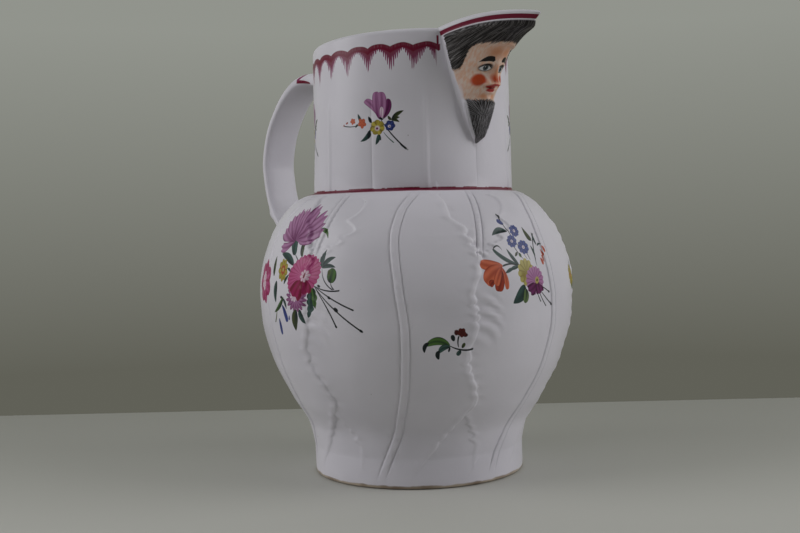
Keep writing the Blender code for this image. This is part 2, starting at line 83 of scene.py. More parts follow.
# The rib's sway in degrees against height as a share of the body, the leaf's right edge past the rib's
# place, and the gap between that edge and the next leaf, which is under 0 where the leaves lap
RIB_SWAY = ((0.0, -17.0), (0.08, -12.5), (0.21, -4.5), (0.39, 0.0), (0.53, 0.7), (0.70, -1.2),
            (0.84, -2.6), (0.92, -0.8), (1.0, 7.0))
LEAF_EDGE = ((0.0, -4.0), (0.08, 5.0), (0.17, 15.0), (0.25, 24.0), (0.31, 27.6), (0.45, 22.0),
             (0.56, 24.5), (0.66, 23.4), (0.76, 26.2), (0.86, 21.8), (0.95, 16.0), (1.0, 15.0))
LEAF_GAP = ((0.0, 38.0), (0.08, 28.0), (0.17, 15.5), (0.25, 1.0), (0.30, -4.0), (0.74, -4.0),
            (0.78, 1.0), (0.84, 13.0), (0.93, 24.5), (1.0, 27.0))
# How strongly the leaves' edges stand out against that height share
EDGE_STRENGTH = ((0.0, 0.25), (0.12, 0.45), (0.22, 0.85), (0.32, 0.6), (0.5, 0.75), (0.72, 1.0), (1.0, 0.9))
# The spout's front against the height share from beard tip to lip, as shares of its reach past the neck
BEAK_FRONT = ((0.0, 0.0), (0.15, 0.06), (0.30, 0.12), (0.45, 0.185), (0.58, 0.27), (0.69, 0.37),
              (0.78, 0.49), (0.86, 0.69), (0.92, 0.90), (0.96, 0.97), (1.0, 1.0))
CHANNEL_FRONT = ((0.0, 0.0), (0.2, 0.09), (0.4, 0.22), (0.6, 0.39), (0.78, 0.63), (0.9, 0.85), (1.0, 1.0))
# The share of a sine's half wave that the lip's arch follows, from the neck to the spout's tip
LIP_ARCH = 0.85
# The power of the height with which the spout widens from the beard's tip up
SPOUT_SPREAD = 0.62
# The handle's centre line between its roots, as shares of its reach past the neck and of its height
HANDLE_LINE = ((0.09, 0.955), (0.26, 0.98), (0.40, 1.0), (0.55, 0.986), (0.70, 0.93), (0.83, 0.843),
               (0.93, 0.742), (0.982, 0.64), (1.0, 0.56), (0.986, 0.485), (0.955, 0.39), (0.893, 0.295),
               (0.793, 0.21), (0.656, 0.131), (0.512, 0.061))
# Rounded features of the mask, in thirds of the face: how far each stands out, its place out from the
# middle, its half width, its level over the chin and its half height
EYE_LEVEL = 1.75
MASK_FEATURES = {
    "brow": (0.12, 0.54, 0.41, 2.00, 0.15),
    "eye socket": (-0.20, 0.51, 0.38, EYE_LEVEL, 0.28),
    "eyeball": (0.155, 0.565, 0.25, EYE_LEVEL, 0.15),
    "cheek": (0.17, 0.65, 0.36, 1.10, 0.40),
    "nostril wing": (0.21, 0.28, 0.14, 1.12, 0.15),
    "muzzle": (0.145, 0.0, 0.48, 0.64, 0.42),
    "upper lip": (0.11, 0.0, 0.36, 0.73, 0.08),
    "lower lip": (0.12, 0.0, 0.31, 0.53, 0.09),
    "chin": (0.17, 0.0, 0.41, 0.14, 0.20),
}


def length(name, metres, about):
    """A size in metres."""
    return FloatProperty(name=name, description=about, default=metres, unit="LENGTH", precision=4)


def number(name, value, about):
    """A plain number: a share, a power or an angle in degrees."""
    return FloatProperty(name=name, description=about, default=value)


def whole(name, value, about):
    """A count."""
    return IntProperty(name=name, description=about, default=value)


def watts(name, value, about):
    """A lamp's power."""
    return FloatProperty(name=name, description=about, default=value, unit="POWER")


def enamel(name, colour, about):
    """A colour, as linear red, green and blue."""
    return FloatVectorProperty(name=name, description=about, default=colour, subtype="COLOR", min=0, max=1)


class BodySizes(bpy.types.PropertyGroup):
    """Sizes of the turned body, the neck and the wall."""

    foot_radius: length("Foot radius", 0.0544, "Radius of the foot")
    foot_edge: length("Foot edge", 0.0009, "Rounding of the base's edge")
    waist_height: length("Waist height", 0.0145, "Height where the foot starts to swell")
    belly_height: length("Belly height", 0.0920, "Height of the widest place")
    belly_radius: length("Belly radius", 0.0808, "Radius at the widest place, without the leaves")
    shoulder_height: length("Shoulder height", 0.1440, "Height of the crease under the neck")
    neck_radius: length("Neck radius", 0.0520, "Radius of the neck at the shoulder")
    mouth_radius: length("Mouth radius", 0.0506, "Radius of the mouth")
    rim_height: length("Rim height", 0.2193, "Middle height of the rim")
    rim_sweep: length("Rim sweep", 0.0020, "How far the rim sweeps up towards the spout")
    rim_rounding: length("Rim rounding", 0.0021, "Half the height of the rim's rounded edge")
    wall: length("Wall", 0.0045, "Thickness of the wall")
    floor_thickness: length("Floor", 0.0065, "Thickness of the floor")
    floor_rounding: length("Floor rounding", 0.0120, "Rounding between floor and wall, inside")
    waviness: length("Waviness", 0.00022, "Unevenness of the hand-pressed wall")


class SpoutSizes(bpy.types.PropertyGroup):
    """Sizes of the beak, the pouring channel and the mask's frame."""

    reach: length("Reach", JUG_HIGH.x - 0.0001, "Distance from the axis to the beak's tip")
    half_angle: number("Half angle", 21.5, "Half the angle that the spout takes of the neck, in degrees")
    tip_height: length("Beard tip height", 0.1660, "Height of the beard's tip")
    lip_rise: length("Lip rise", 0.0034, "How far the lip arches over the rim")
    lip_band: length("Lip band", 0.0046, "White band between lip and hair")
    lip_wall: length("Lip wall", 0.0058, "Thickness of the lip at its tip")
    channel_foot: length("Channel foot", 0.1850, "Height where the pouring channel starts")
    channel_half_angle: number("Channel half angle", 17.6, "Half the channel's angle, in degrees")


class LeafSizes(bpy.types.PropertyGroup):
    """Sizes of the moulded leaves and of the neck's flutes."""

    count: whole("Leaves", 6, "How many leaves stand round the body")
    turn: number("Turn", -42.0, "Azimuth of one leaf's rib, in degrees")
    relief: length("Relief", 0.00085, "How far a leaf stands out")
    crest: length("Crest", 0.00034, "How far a leaf's ragged edge stands out further")
    edge_width: length("Edge width", 0.0013, "Width of a leaf's step")
    lap_width: length("Lap width", 0.0260, "Width over which a leaf rises to its edge")
    crest_width: length("Crest width", 0.0016, "Width of the edge's crest")
    foot_fade: length("Foot fade", 0.0140, "Height over which the leaves start, above the base")
    lobes: number("Lobes", 22.0, "How many lobes a leaf's edge has")
    lobe: number("Lobe", 2.0, "How far the lobes reach, in degrees")
    rib_half_width: length("Rib half width", 0.0018, "Half the width of the midrib")
    rib_relief: length("Rib relief", 0.0003, "How far the midrib stands out")
    rib_groove: length("Rib groove", 0.0005, "Depth of the lines beside the midrib")
    short_rib_turn: number("Short rib turn", 26.4, "Place of the short rib past the rib, in degrees")
    short_rib_sway: number("Short rib sway", 23.0, "Lean of the short rib, in degrees")
    short_rib_foot: number("Short rib foot", 0.76, "Where the short rib starts, as a share of the body")
    vein: length("Vein", 0.00028, "Height of the fine veins beside a leaf's edge")
    vein_spacing: length("Vein spacing", 0.0078, "Distance between two veins")
    flute: length("Flute", 0.0008, "Depth of the valleys between the neck's flutes")
    flute_top: length("Flute top", 0.1960, "Height where the flutes end")
    flute_fade: length("Flute fade", 0.0140, "Height over which the flutes end")


class MaskSizes(bpy.types.PropertyGroup):
    """Sizes of the mask, set out by the usual thirds of a face."""

    hairline: length("Hairline", 0.2110, "Height of the hairline")
    chin: length("Chin", 0.1860, "Height of the chin")
    face_share: number("Face share", 0.94, "Share of the frame's width that the head takes")
    relief: number("Relief", 0.13, "How far the face stands out, in thirds")
    nose: number("Nose", 0.58, "How far the nose stands out, in thirds")
    hair: number("Hair", 0.12, "How far the hair stands out, in thirds")
    beard: number("Beard", 0.12, "How far the beard stands out, in thirds")
    strand: length("Strand", 0.00016, "Height of the strands of hair and beard")
    strand_spacing: length("Strand spacing", 0.0011, "Distance between two strands")


class HandleSizes(bpy.types.PropertyGroup):
    """Sizes of the loop handle."""

    azimuth: number("Azimuth", 184.0, "Where the handle's plane stands, in degrees")
    reach: length("Reach", -JUG_LOW.x - 0.0001, "Distance from the axis to the handle's outer edge")
    crown_height: length("Crown height", 0.2146, "Height of the handle's top")
    top_root: length("Top root", 0.2040, "Height of the upper root")
    low_root: length("Low root", 0.1040, "Height of the lower root")
    width: length("Width", 0.0215, "Width of the strap")
    thickness: length("Thickness", 0.0052, "Thickness of the strap")
    top_thickness: length("Top thickness", 0.0190, "Thickness at the upper root")
    low_thickness: length("Low thickness", 0.0085, "Thickness at the lower root")
    root_width: length("Root width", 0.0250, "Width at both roots")
    root_depth: number("Root depth", 0.5, "How deep the roots stand in the wall, as a share of it")
    squareness: number("Squareness", 0.6, "Power that squares the strap's section, 1 for an ellipse")
    spur: length("Spur", 0.0026, "Height of the spur low on the back")
    spur_station: number("Spur station", 0.72, "The spur's place along the strap, as a share")


class MeshFineness(bpy.types.PropertyGroup):
    """Fineness of the vessel's skin before and after it is thinned."""

    columns: whole("Columns", 1030, "Columns round the jug")
    mask_columns: whole("Mask columns", 250, "Columns over the mask")
    row_spacing: length("Row spacing", 0.0008, "Distance between rows on the body")
    mask_row_spacing: length("Mask row spacing", 0.00034, "Distance between rows on the mask")
    kept: number("Kept", 0.166, "Share of the triangles that is kept")
    handle_stations: whole("Handle stations", 170, "Sections along the strap")
    handle_sides: whole("Handle sides", 32, "Points round a section")


class EnamelColours(bpy.types.PropertyGroup):
    """Colours of the glaze and of the painting."""

    glaze_white: enamel("Glaze white", (0.735, 0.715, 0.775), "The white glaze")
    glaze_grey: enamel("Glaze grey", (0.66, 0.642, 0.7), "The glaze where it is greyer")
    speck_brown: enamel("Speck brown", (0.16, 0.12, 0.09), "Specks in the glaze")
    biscuit: enamel("Biscuit", (0.45, 0.38, 0.3), "The unglazed edge of the base")
    fired_brown: enamel("Fired brown", (0.26, 0.2, 0.15), "Browner places of the unglazed edge")
    crimson: enamel("Crimson", (0.17, 0.008, 0.032), "Lines round the rim, the lip and the neck")
    tuft_purple: enamel("Tuft purple", (0.24, 0.02, 0.11), "Tufts of the comb border")
    mauve: enamel("Mauve", (0.43, 0.2, 0.38), "Light purple petals")
    purple: enamel("Purple", (0.15, 0.025, 0.11), "Dark purple petals")
    deep_purple: enamel("Deep purple", (0.055, 0.008, 0.035), "Shade of dark purple petals")
    pink: enamel("Pink", (0.52, 0.1, 0.27), "Pink petals")
    rose: enamel("Rose", (0.3, 0.015, 0.09), "Shade of pink petals")
    deep_rose: enamel("Deep rose", (0.17, 0.008, 0.03), "Darkest rose")
    pale: enamel("Pale", (0.7, 0.6, 0.66), "Flowers' pale middles")
    yellow: enamel("Yellow", (0.48, 0.4, 0.06), "Yellow petals")
    pale_yellow: enamel("Pale yellow", (0.46, 0.4, 0.12), "Pale yellow petals")
    mustard: enamel("Mustard", (0.26, 0.2, 0.04), "Shade in the yellow flower")
    ochre: enamel("Ochre", (0.17, 0.12, 0.02), "Shade of yellow petals")
    orange_ring: enamel("Orange ring", (0.46, 0.1, 0.04), "Ring in the small yellow flower")
    salmon: enamel("Salmon", (0.62, 0.15, 0.07), "Light orange petals")
    orange: enamel("Orange", (0.34, 0.045, 0.02), "Orange petals")
    brick: enamel("Brick", (0.13, 0.018, 0.01), "Shade of orange petals")
    faded_red: enamel("Faded red", (0.72, 0.45, 0.46), "A washed out bell")
    rust: enamel("Rust", (0.1, 0.012, 0.008), "The sprig's flower")
    oxblood: enamel("Oxblood", (0.05, 0.005, 0.005), "Shade of the sprig's flower")
    blue: enamel("Blue", (0.05, 0.075, 0.27), "Blue petals")
    deep_blue: enamel("Deep blue", (0.01, 0.015, 0.085), "Shade of blue petals")
    green: enamel("Green", (0.075, 0.17, 0.035), "Green leaves")
    pale_green: enamel("Pale green", (0.13, 0.2, 0.07), "Pale leaf")
    olive: enamel("Olive", (0.07, 0.09, 0.02), "Olive leaves")
    teal: enamel("Teal", (0.045, 0.1, 0.085), "Blue green leaves")
    dark_teal: enamel("Dark teal", (0.009, 0.017, 0.018), "Shade of leaves")
    ink: enamel("Ink", (0.01, 0.014, 0.016), "Stems")
    flesh: enamel("Flesh", (0.74, 0.46, 0.33), "The mask's skin")
    pale_flesh: enamel("Pale flesh", (0.76, 0.6, 0.52), "The skin where it is paler")
    wash: enamel("Wash", (0.64, 0.3, 0.17), "Warm wash on forehead, nose and chin")
    blush: enamel("Blush", (0.5, 0.07, 0.022), "Cheeks and nose")
    lip_red: enamel("Lip red", (0.4, 0.035, 0.03), "Lips")
    hair_grey: enamel("Hair grey", (0.15, 0.14, 0.14), "Light strands of the hair")
    hair_black: enamel("Hair black", (0.012, 0.01, 0.01), "Dark strands, brows and outlines")
    beard_grey: enamel("Beard grey", (0.3, 0.29, 0.31), "Light strands of the beard")
    eye_white: enamel("Eye white", (0.7, 0.7, 0.72), "Whites of the eyes")
    iris: enamel("Iris", (0.05, 0.07, 0.08), "Irises")


def smooth_through(points, at):
    """A monotone cubic curve through the (x, y) points, read at the values in at."""
    x, y = np.array(points, float).T
    step = np.diff(x)
    slope = np.diff(y) / step
    before, after = slope[:-1] + TINY, slope[1:] + TINY
    inner = np.where(slope[1:] * slope[:-1] > 0, 2 / (1 / after + 1 / before), 0)
    tangent = np.concatenate([[slope[0]], inner, [slope[-1]]])
    at = np.clip(at, x[0], x[-1])
    k = np.clip(np.searchsorted(x, at, side="right") - 1, 0, len(x) - 2)
    u = (at - x[k]) / step[k]
    start = y[k] * (1 + 2 * u) * (1 - u) ** 2 + y[k + 1] * u**2 * (3 - 2 * u)
    return start + step[k] * (tangent[k] * u * (1 - u) ** 2 - tangent[k + 1] * u**2 * (1 - u))


def spline_through(along, knots, at):
    """A smooth (Catmull-Rom) curve through the knots, read at the given lengths along it."""
    tangent = np.gradient(knots, along, axis=0)
    k = np.clip(np.searchsorted(along, at, side="right") - 1, 0, len(along) - 2)
    step = (along[k + 1] - along[k])[:, None]
    u = (at - along[k])[:, None] / step
    start, end = knots[k], knots[k + 1]
    curve = start * (1 + 2 * u) * (1 - u) ** 2 + end * u**2 * (3 - 2 * u)
    return curve + step * (tangent[k] * u * (1 - u) ** 2 - tangent[k + 1] * u**2 * (1 - u))


def bump(distance, width):
    """A smooth hill, 1 at its middle and near 0 at twice its width."""
    return np.exp(-((distance / width) ** 2))


def ramp(value, low, high):
    """0 below low, 1 above high, and smooth between."""
    share = np.clip((value - low) / (high - low), 0, 1)
    return share * share * (3 - 2 * share)


def folded(azimuth, period):
    """The azimuth brought within half a period of 0."""
    return (azimuth + period / 2) % period - period / 2


def even_steps(line, spacing):
    """The points of a fine line at even steps along it."""
    along = np.concatenate([[0], np.cumsum(np.linalg.norm(np.diff(line, axis=0), axis=1))])
    at = np.linspace(0, along[-1], max(2, round(along[-1] / spacing)) + 1)
    return np.stack([np.interp(at, along, line[:, k]) for k in (0, 1)], axis=1)


def outward(line):
    """Unit normals of a profile that runs upward on the outside, pointing away from the axis."""
    along = np.gradient(line, axis=0)
    along /= np.linalg.norm(along, axis=1, keepdims=True)
    return np.stack([along[:, 1], -along[:, 0]], axis=1)


def section_radius(azimuth, half_angle, base_radius, front, power, root):
    """Radius at an azimuth of a beak's level section. The section is a half width of v times the edge's,
    with the front (1 - |v|^power)^root of the way from the edge to the tip. Found by halving."""
    edge_across = base_radius * np.sin(np.radians(half_angle))
    edge_out = base_radius * np.cos(np.radians(half_angle))
    slope = np.tan(np.radians(np.minimum(abs(azimuth), 80)))
    low, high = np.zeros(np.shape(slope + edge_across)), np.ones(np.shape(slope + edge_across))
    for _ in range(28):
        v = (low + high) / 2
        out = edge_out + (front - edge_out) * (1 - v**power) ** root
        inside = edge_across * v < slope * out
        low, high = np.where(inside, v, low), np.where(inside, high, v)
    out = edge_out + (front - edge_out) * (1 - low**power) ** root
    radius = np.hypot(out, edge_across * low)
    return np.where(abs(azimuth) < half_angle, np.maximum(radius, base_radius), base_radius)


class JugShape:
    """The jug's surface, worked out from the scene's sizes."""

    def __init__(self, scene):
        self.body = scene.jug_body
        self.spout = scene.jug_spout
        self.leaf = scene.jug_leaf
        self.mask = scene.jug_mask
        self.mesh = scene.jug_mesh
        self.lip_height = self.body.rim_height + self.body.rim_sweep
        self.third = (self.mask.hairline - self.mask.chin) / 3

    def body_radius(self, height):
        """Outer radius of the turned body: foot, swelling belly and rounded shoulder. The shoulder is a
        power curve, (1 - t^2)^0.62 of the way from the neck out to the belly."""
        body = self.body
        rise = (height - body.waist_height) / (body.belly_height - body.waist_height)
        swell = body.belly_radius - body.foot_radius
        lower = body.foot_radius + swell * smooth_through(BELLY_SHAPE, rise)
        fall = np.clip((height - body.belly_height) / (body.shoulder_height - body.belly_height), 0, 1)
        upper = body.neck_radius + (body.belly_radius - body.neck_radius) * (1 - fall**2) ** 0.62
        return np.where(height < body.belly_height, lower, upper)

    def neck_radius(self, share):
        """Outer radius of the neck, from the shoulder at share 0 to the mouth at share 1."""
        return self.body.neck_radius + (self.body.mouth_radius - self.body.neck_radius) * share

    def body_profile(self, spacing):
        """(radius, height) rows of the outer body from its foot up to the neck."""
        body = self.body
        height = body.shoulder_height * (1 - np.linspace(1, 0, 3000) ** 2)
        height = height[height > body.foot_edge]
        fine = np.stack([self.body_radius(height), height], axis=1)
        turn = np.linspace(0, math.pi / 2, 5)[:-1, None]
        edge = np.concatenate([body.foot_radius - body.foot_edge * (1 - np.sin(turn)),
                               body.foot_edge * (1 - np.cos(turn))], axis=1)
        return np.concatenate([edge, even_steps(fine, spacing)])

    def rib_relief(self, across, half_width):
        """A flat raised rib with an incised line down each side, by the distance across it."""
        band = self.leaf.rib_relief * (1 - ramp(abs(across), half_width * 0.75, half_width * 1.05))
        return band - self.leaf.rib_groove * bump(abs(across) - half_width * 1.2, half_width * 0.19)

    def leaf_relief(self, azimuth, height):
        """How far the moulded leaves stand out. They stand side by side, each with a swaying rib. The ragged
        right edge of each laps over the next, and the two draw apart above and below, where a short rib shows
        between them at the top. The edge's lobes are the 0.7 power of |sine| of the height, and their reach
        changes with the height. Soft veins fall away to the right of the edge, as a sine of the height plus
        the square of the distance from it. Small knots stand along it, the product of two sines of the
        height."""
        leaf = self.leaf
        share = height / self.body.shoulder_height
        per_degree = np.radians(1) * self.body_radius(height)
        sector = 360 / leaf.count
        lobes = abs(np.sin(math.pi * leaf.lobes * share + 1.6 * np.sin(share * 31))) ** 0.7
        uneven = 0.6 + 0.4 * np.sin(share * 43 + 1) + 0.7 * ramp(share, 0.72, 0.84)
        lobes = leaf.lobe * (lobes - 0.5) * uneven
        past_edge = (azimuth - leaf.turn - smooth_through(LEAF_EDGE, share) - lobes) % sector
        beyond = folded(past_edge, sector) * per_degree
        into_next = (past_edge - smooth_through(LEAF_GAP, share) - 1.3 * lobes) * per_degree
        edge = leaf.edge_width
        lap = 1 - ramp(beyond, 0, edge)
        own = ramp(into_next, -0.5 * edge, 0.7 * edge)
        stands = 0.45 * np.maximum(lap, own) + 0.55 * lap * ramp(beyond, -leaf.lap_width, 0)
        stands = stands * (0.4 + 0.6 * ramp(share, 0.12, 0.3))
        crest = bump(beyond + leaf.crest_width, leaf.crest_width)
        inner = bump(into_next - leaf.crest_width, leaf.crest_width)
        crest = (crest + 0.8 * inner * (past_edge < sector / 2)) * smooth_through(EDGE_STRENGTH, share)
        fall = 2 * math.pi * (height + 44 * beyond**2) / leaf.vein_spacing
        beside_edge = ramp(beyond, 0.0, 0.003) * (1 - ramp(beyond, 0.007, 0.017))
        at_belly = ramp(share, 0.46, 0.54) * (1 - ramp(share, 0.62, 0.70))
        vein = np.sin(fall + np.sin(height * 150)) * beside_edge * at_belly
        knots = np.sin(height * 690 + 40 * beyond) * np.sin(height * 431 + 1) * bump(beyond, 0.0042)
        vein = vein + 1.1 * knots * ramp(share, 0.15, 0.25)
        rib_across = folded(azimuth - leaf.turn - smooth_through(RIB_SWAY, share), sector) * per_degree
        short_turn = leaf.turn + leaf.short_rib_turn + leaf.short_rib_sway * (share - leaf.short_rib_foot)
        short_across = folded(azimuth - short_turn, sector) * per_degree
        short = self.rib_relief(short_across, leaf.rib_half_width * 0.75) * ramp(
            share, leaf.short_rib_foot, leaf.short_rib_foot + 0.06)
        fade = ramp(height, 0.2 * leaf.foot_fade, leaf.foot_fade) * (1 - ramp(share, 0.965, 1.0))
        return fade * (leaf.relief * stands + leaf.crest * crest + leaf.vein * vein
                       + self.rib_relief(rib_across, leaf.rib_half_width) + short)

    def waviness(self, azimuth, height):
        """Slow waves of a hand-pressed wall: three sines of azimuth and height that don't line up."""
        turn = np.radians(azimuth)
        wave = np.sin(3 * turn + 61 * height) + 0.7 * np.sin(5 * turn - 97 * height + 1)
        wave = wave + 0.5 * np.sin(9 * turn + 173 * height + 2)
        return self.body.waviness * wave / 2 * ramp(height, 0.004, 0.02)

    def flute_relief(self, azimuth, height):
        """Rounded flutes on the neck, |sin|^0.4 of the azimuth, each with a thin ridge up its middle."""
        leaf = self.leaf
        sector = 360 / leaf.count
        lobe = abs(np.sin(np.radians(azimuth * leaf.count / 2))) ** 0.4 - 1
        ridge = 0.6 * bump(folded(azimuth - sector / 2, sector), 1.3)
        below_top = 1 - ramp(height, leaf.flute_top - leaf.flute_fade, leaf.flute_top)
        return leaf.flute * (lobe + ridge) * below_top

    def rim_height(self, azimuth):
        """Height of the rim, which sweeps up towards the spout."""
        return self.body.rim_height + self.body.rim_sweep * np.cos(np.radians(azimuth))

    def beak_share(self, height):
        """0 at the beard's tip and 1 at the lip."""
        return np.clip((height - self.spout.tip_height) / (self.lip_height - self.spout.tip_height), 0, 1)

    def beak_half_angle(self, up):
        """Half the angle that the spout takes of the neck: it grows as a power of the height."""
        return self.spout.half_angle * np.maximum(up, 1e-6) ** SPOUT_SPREAD

    def outer_neck(self, azimuth, share):
        """Outer radius of neck and spout, without the mask's features."""
        base = self.body.shoulder_height
        height = base + share * (self.rim_height(azimuth) - base)
        round_neck = self.neck_radius(share)
        up = self.beak_share(height)
        front = round_neck + (self.spout.reach - self.body.mouth_radius) * smooth_through(BEAK_FRONT, up)
        power = 2.0 - 0.75 * ramp(up, 0.5, 0.95)
        root = 0.85 - 0.225 * ramp(up, 0.5, 0.95)
        return section_radius(azimuth, self.beak_half_angle(up), round_neck, front, power, root)

    def inner_neck(self, azimuth, share):
        """Inner radius of neck and pouring channel."""
        body, spout = self.body, self.spout
        height = body.shoulder_height + share * (self.rim_height(azimuth) - body.shoulder_height)
        round_neck = self.neck_radius(share) - body.wall
        up = np.clip((height - spout.channel_foot) / (self.lip_height - spout.channel_foot), 0, 1)
        reach = spout.reach - spout.lip_wall - (body.mouth_radius - body.wall)
        front = round_neck + reach * smooth_through(CHANNEL_FRONT, up)
        half_angle = spout.channel_half_angle * np.maximum(up, 1e-6) ** 0.6
        return section_radius(azimuth, half_angle, round_neck, front, 1.5, 0.65)

    def lip_rise(self, radius):
        """How far the spout's lip arches over the rim: a sine of its distance from the axis."""
        past_neck = self.spout.reach - self.body.mouth_radius
        share = np.clip((radius - self.body.mouth_radius) / past_neck, 0, 1)
        return self.spout.lip_rise * np.sin(math.pi * LIP_ARCH * share)

    def strands(self, side, up):
        """Fine strands: ridges across a line of flow. Hair falls out and down from the parting, and the
        beard's strands run down and in to its tip."""
        spacing = self.mask.strand_spacing / self.third
        hair = side * 1.2 + 0.9 * (up - 3) * ramp(side, 0.1, 1.2) + 0.12 * np.sin(7 * up + 3 * side)
        beard = side / np.maximum(up + 1.0, 0.25) + 0.05 * np.sin(9 * up)
        flow = np.where(up > 1, hair, beard)
        ridge = np.sin(2 * math.pi * flow / spacing) + 0.5 * np.sin(2 * math.pi * flow / spacing * 0.37 + 1)
        return ridge * self.mask.strand / self.third

    def mask_relief(self, points):
        """How far the mask stands out of the spout's points. The face is a raised shield with a wedge nose
        and rounded features set out in thirds, with hair above it and a pointed beard below."""
        mask, spout, third = self.mask, self.spout, self.third
        out, across, height = np.moveaxis(points, -1, 0)
        top = self.lip_height + self.lip_rise(np.hypot(out, across)) - spout.lip_band
        side, up = abs(across) / third, (height - mask.chin) / third
        features = 0
        for relief, centre, wide, level, tall in MASK_FEATURES.values():
            features = features + relief * bump(side - centre, wide) * bump(up - level, tall)
        down_nose = np.clip(2 - up, 0, 1)
        nose = mask.nose * (0.22 + 0.78 * down_nose) * bump(side, 0.15 + 0.13 * down_nose)
        features = features + nose * ramp(up, 0.84, 1.12) * (1 - ramp(up, 1.85, 2.35))

        rise = self.beak_share(height)
        frame_half = self.body.mouth_radius * np.sin(np.radians(self.beak_half_angle(rise)))
        half = np.maximum(frame_half * mask.face_share / third, 0.05)
        low_edge = 1 - ramp(side / half, 0.88, 1.02)
        high_edge = ramp(np.hypot(out, across) - self.body.mouth_radius, 0.0013, 0.0032)
        edge = low_edge + (high_edge - low_edge) * ramp(rise, 0.35, 0.6)
        hairline = 3 - (3 - EYE_LEVEL) * ramp(side / half, 0.74, 0.99)
        over = ramp(up - hairline, -0.07, 0.07)
        below_band = 1 - ramp((height - top) / third, -0.14, 0.09)
        under = 1 - ramp(up, -0.05, 0.17)
        above_tip = ramp((height - spout.tip_height) / third, 0, 0.55)
        strands = self.strands(side, up)
        hair, beard = (mask.hair + strands) * over, (mask.beard + strands) * under
        return third * edge * below_band * above_tip * (
            mask.relief + features * (1 - over) * (1 - under) + hair + beard)

    def row_shares(self):
        """Height shares of the neck's rows: open below the beard, close over the mask."""
        base = self.body.shoulder_height
        lip = self.lip_height - self.body.rim_rounding
        low = self.spout.tip_height
        below = np.linspace(0, low - base, round((low - base) / self.mesh.row_spacing))[1:]
        over = np.linspace(low, lip, round((lip - low) / self.mesh.mask_row_spacing) + 1)[1:] - base
        return np.concatenate([below, over]) / (self.lip_height - base)

    def column_azimuths(self):
        """Azimuths of the skin's columns, from -180 degrees up, closer together over the mask."""
        half, on_mask = self.spout.half_angle, self.mesh.mask_columns
        front = np.linspace(-half, half, on_mask)
        side = np.linspace(half, 180, (self.mesh.columns - on_mask) // 2 + 2)[1:]
        return np.concatenate([-side[::-1], front, side[:-1]])

    def skin(self):
        """The vessel's skin as rows of points round the axis, from inside on the floor, up the inner wall,
        over the rim and down the outside to the edge of the base."""
        body, spout = self.body, self.spout
        azimuth = self.column_azimuths()[None, :]
        cos, sin = np.cos(np.radians(azimuth)), np.sin(np.radians(azimuth))

        def points(radius, height):
            radius, height, _ = np.broadcast_arrays(radius, height, azimuth)
            return np.stack([radius * cos, radius * sin, height], axis=-1)

        profile = self.body_profile(self.mesh.row_spacing)
        normal = outward(profile)
        radius, height = profile[:, :1], profile[:, 1:]
        relief = self.leaf_relief(azimuth, height) + self.waviness(azimuth, height)
        relief = relief * (1 - 0.4 * ramp(relief, 0.0016, 0.0030))
        outer_body = points(radius + normal[:, :1] * relief, height + normal[:, 1:] * relief)

        base = body.shoulder_height
        share = self.row_shares()[:, None]
        radius = self.outer_neck(azimuth, share)
        top = self.rim_height(azimuth) + self.lip_rise(radius) * ramp(share, 0.7, 1.0)
        height = base + share * (top - base)
        on_round = radius < self.neck_radius(share) + 1e-6
        waves = self.waviness(azimuth, height) * (1 - ramp(share, 0.8, 1.0))
        radius = radius + (self.flute_relief(azimuth, height) + waves) * on_round
        neck = points(radius, height)
        along = np.cross(np.gradient(neck, axis=1), np.gradient(neck, axis=0))
        along /= np.linalg.norm(along, axis=2, keepdims=True)
        on_mask = (abs(azimuth) < spout.half_angle * 1.2) & (height > spout.tip_height)
        neck = neck + along * (self.mask_relief(neck) * on_mask)[..., None]

        outer, inner = self.outer_neck(azimuth, 1.0), self.inner_neck(azimuth, 1.0)
        top = self.rim_height(azimuth) + self.lip_rise(outer)
        turn = np.radians(np.linspace(0, 180, 13))[1:-1, None]
        rim = points((outer + inner) / 2 + (outer - inner) / 2 * np.cos(turn),
                     top - body.rim_rounding + body.rim_rounding * np.sin(turn))

        share = self.row_shares()[::-4, None]
        radius = self.inner_neck(azimuth, share)
        top = self.rim_height(azimuth) + self.lip_rise(radius) * ramp(share, 0.7, 1.0)
        throat = points(radius, base + share * (top - base))

        inside = (profile - outward(profile) * body.wall)[::-4]
        above_floor = inside[:, 1] > body.floor_thickness + body.floor_rounding
        inside = inside[above_floor & (inside[:, 0] > (body.neck_radius - body.wall) * 1.004)]
        turn = np.radians(np.linspace(0, 90, 9))[1:, None]
        rounding = np.concatenate([inside[-1, 0] - body.floor_rounding * (1 - np.cos(turn)),
                                   body.floor_thickness + body.floor_rounding * (1 - np.sin(turn))], axis=1)
        inside = np.concatenate([inside, rounding])
        cavity = points(inside[:, :1], inside[:, 1:])
        return np.concatenate([outer_body, neck, rim, throat, cavity])[::-1]


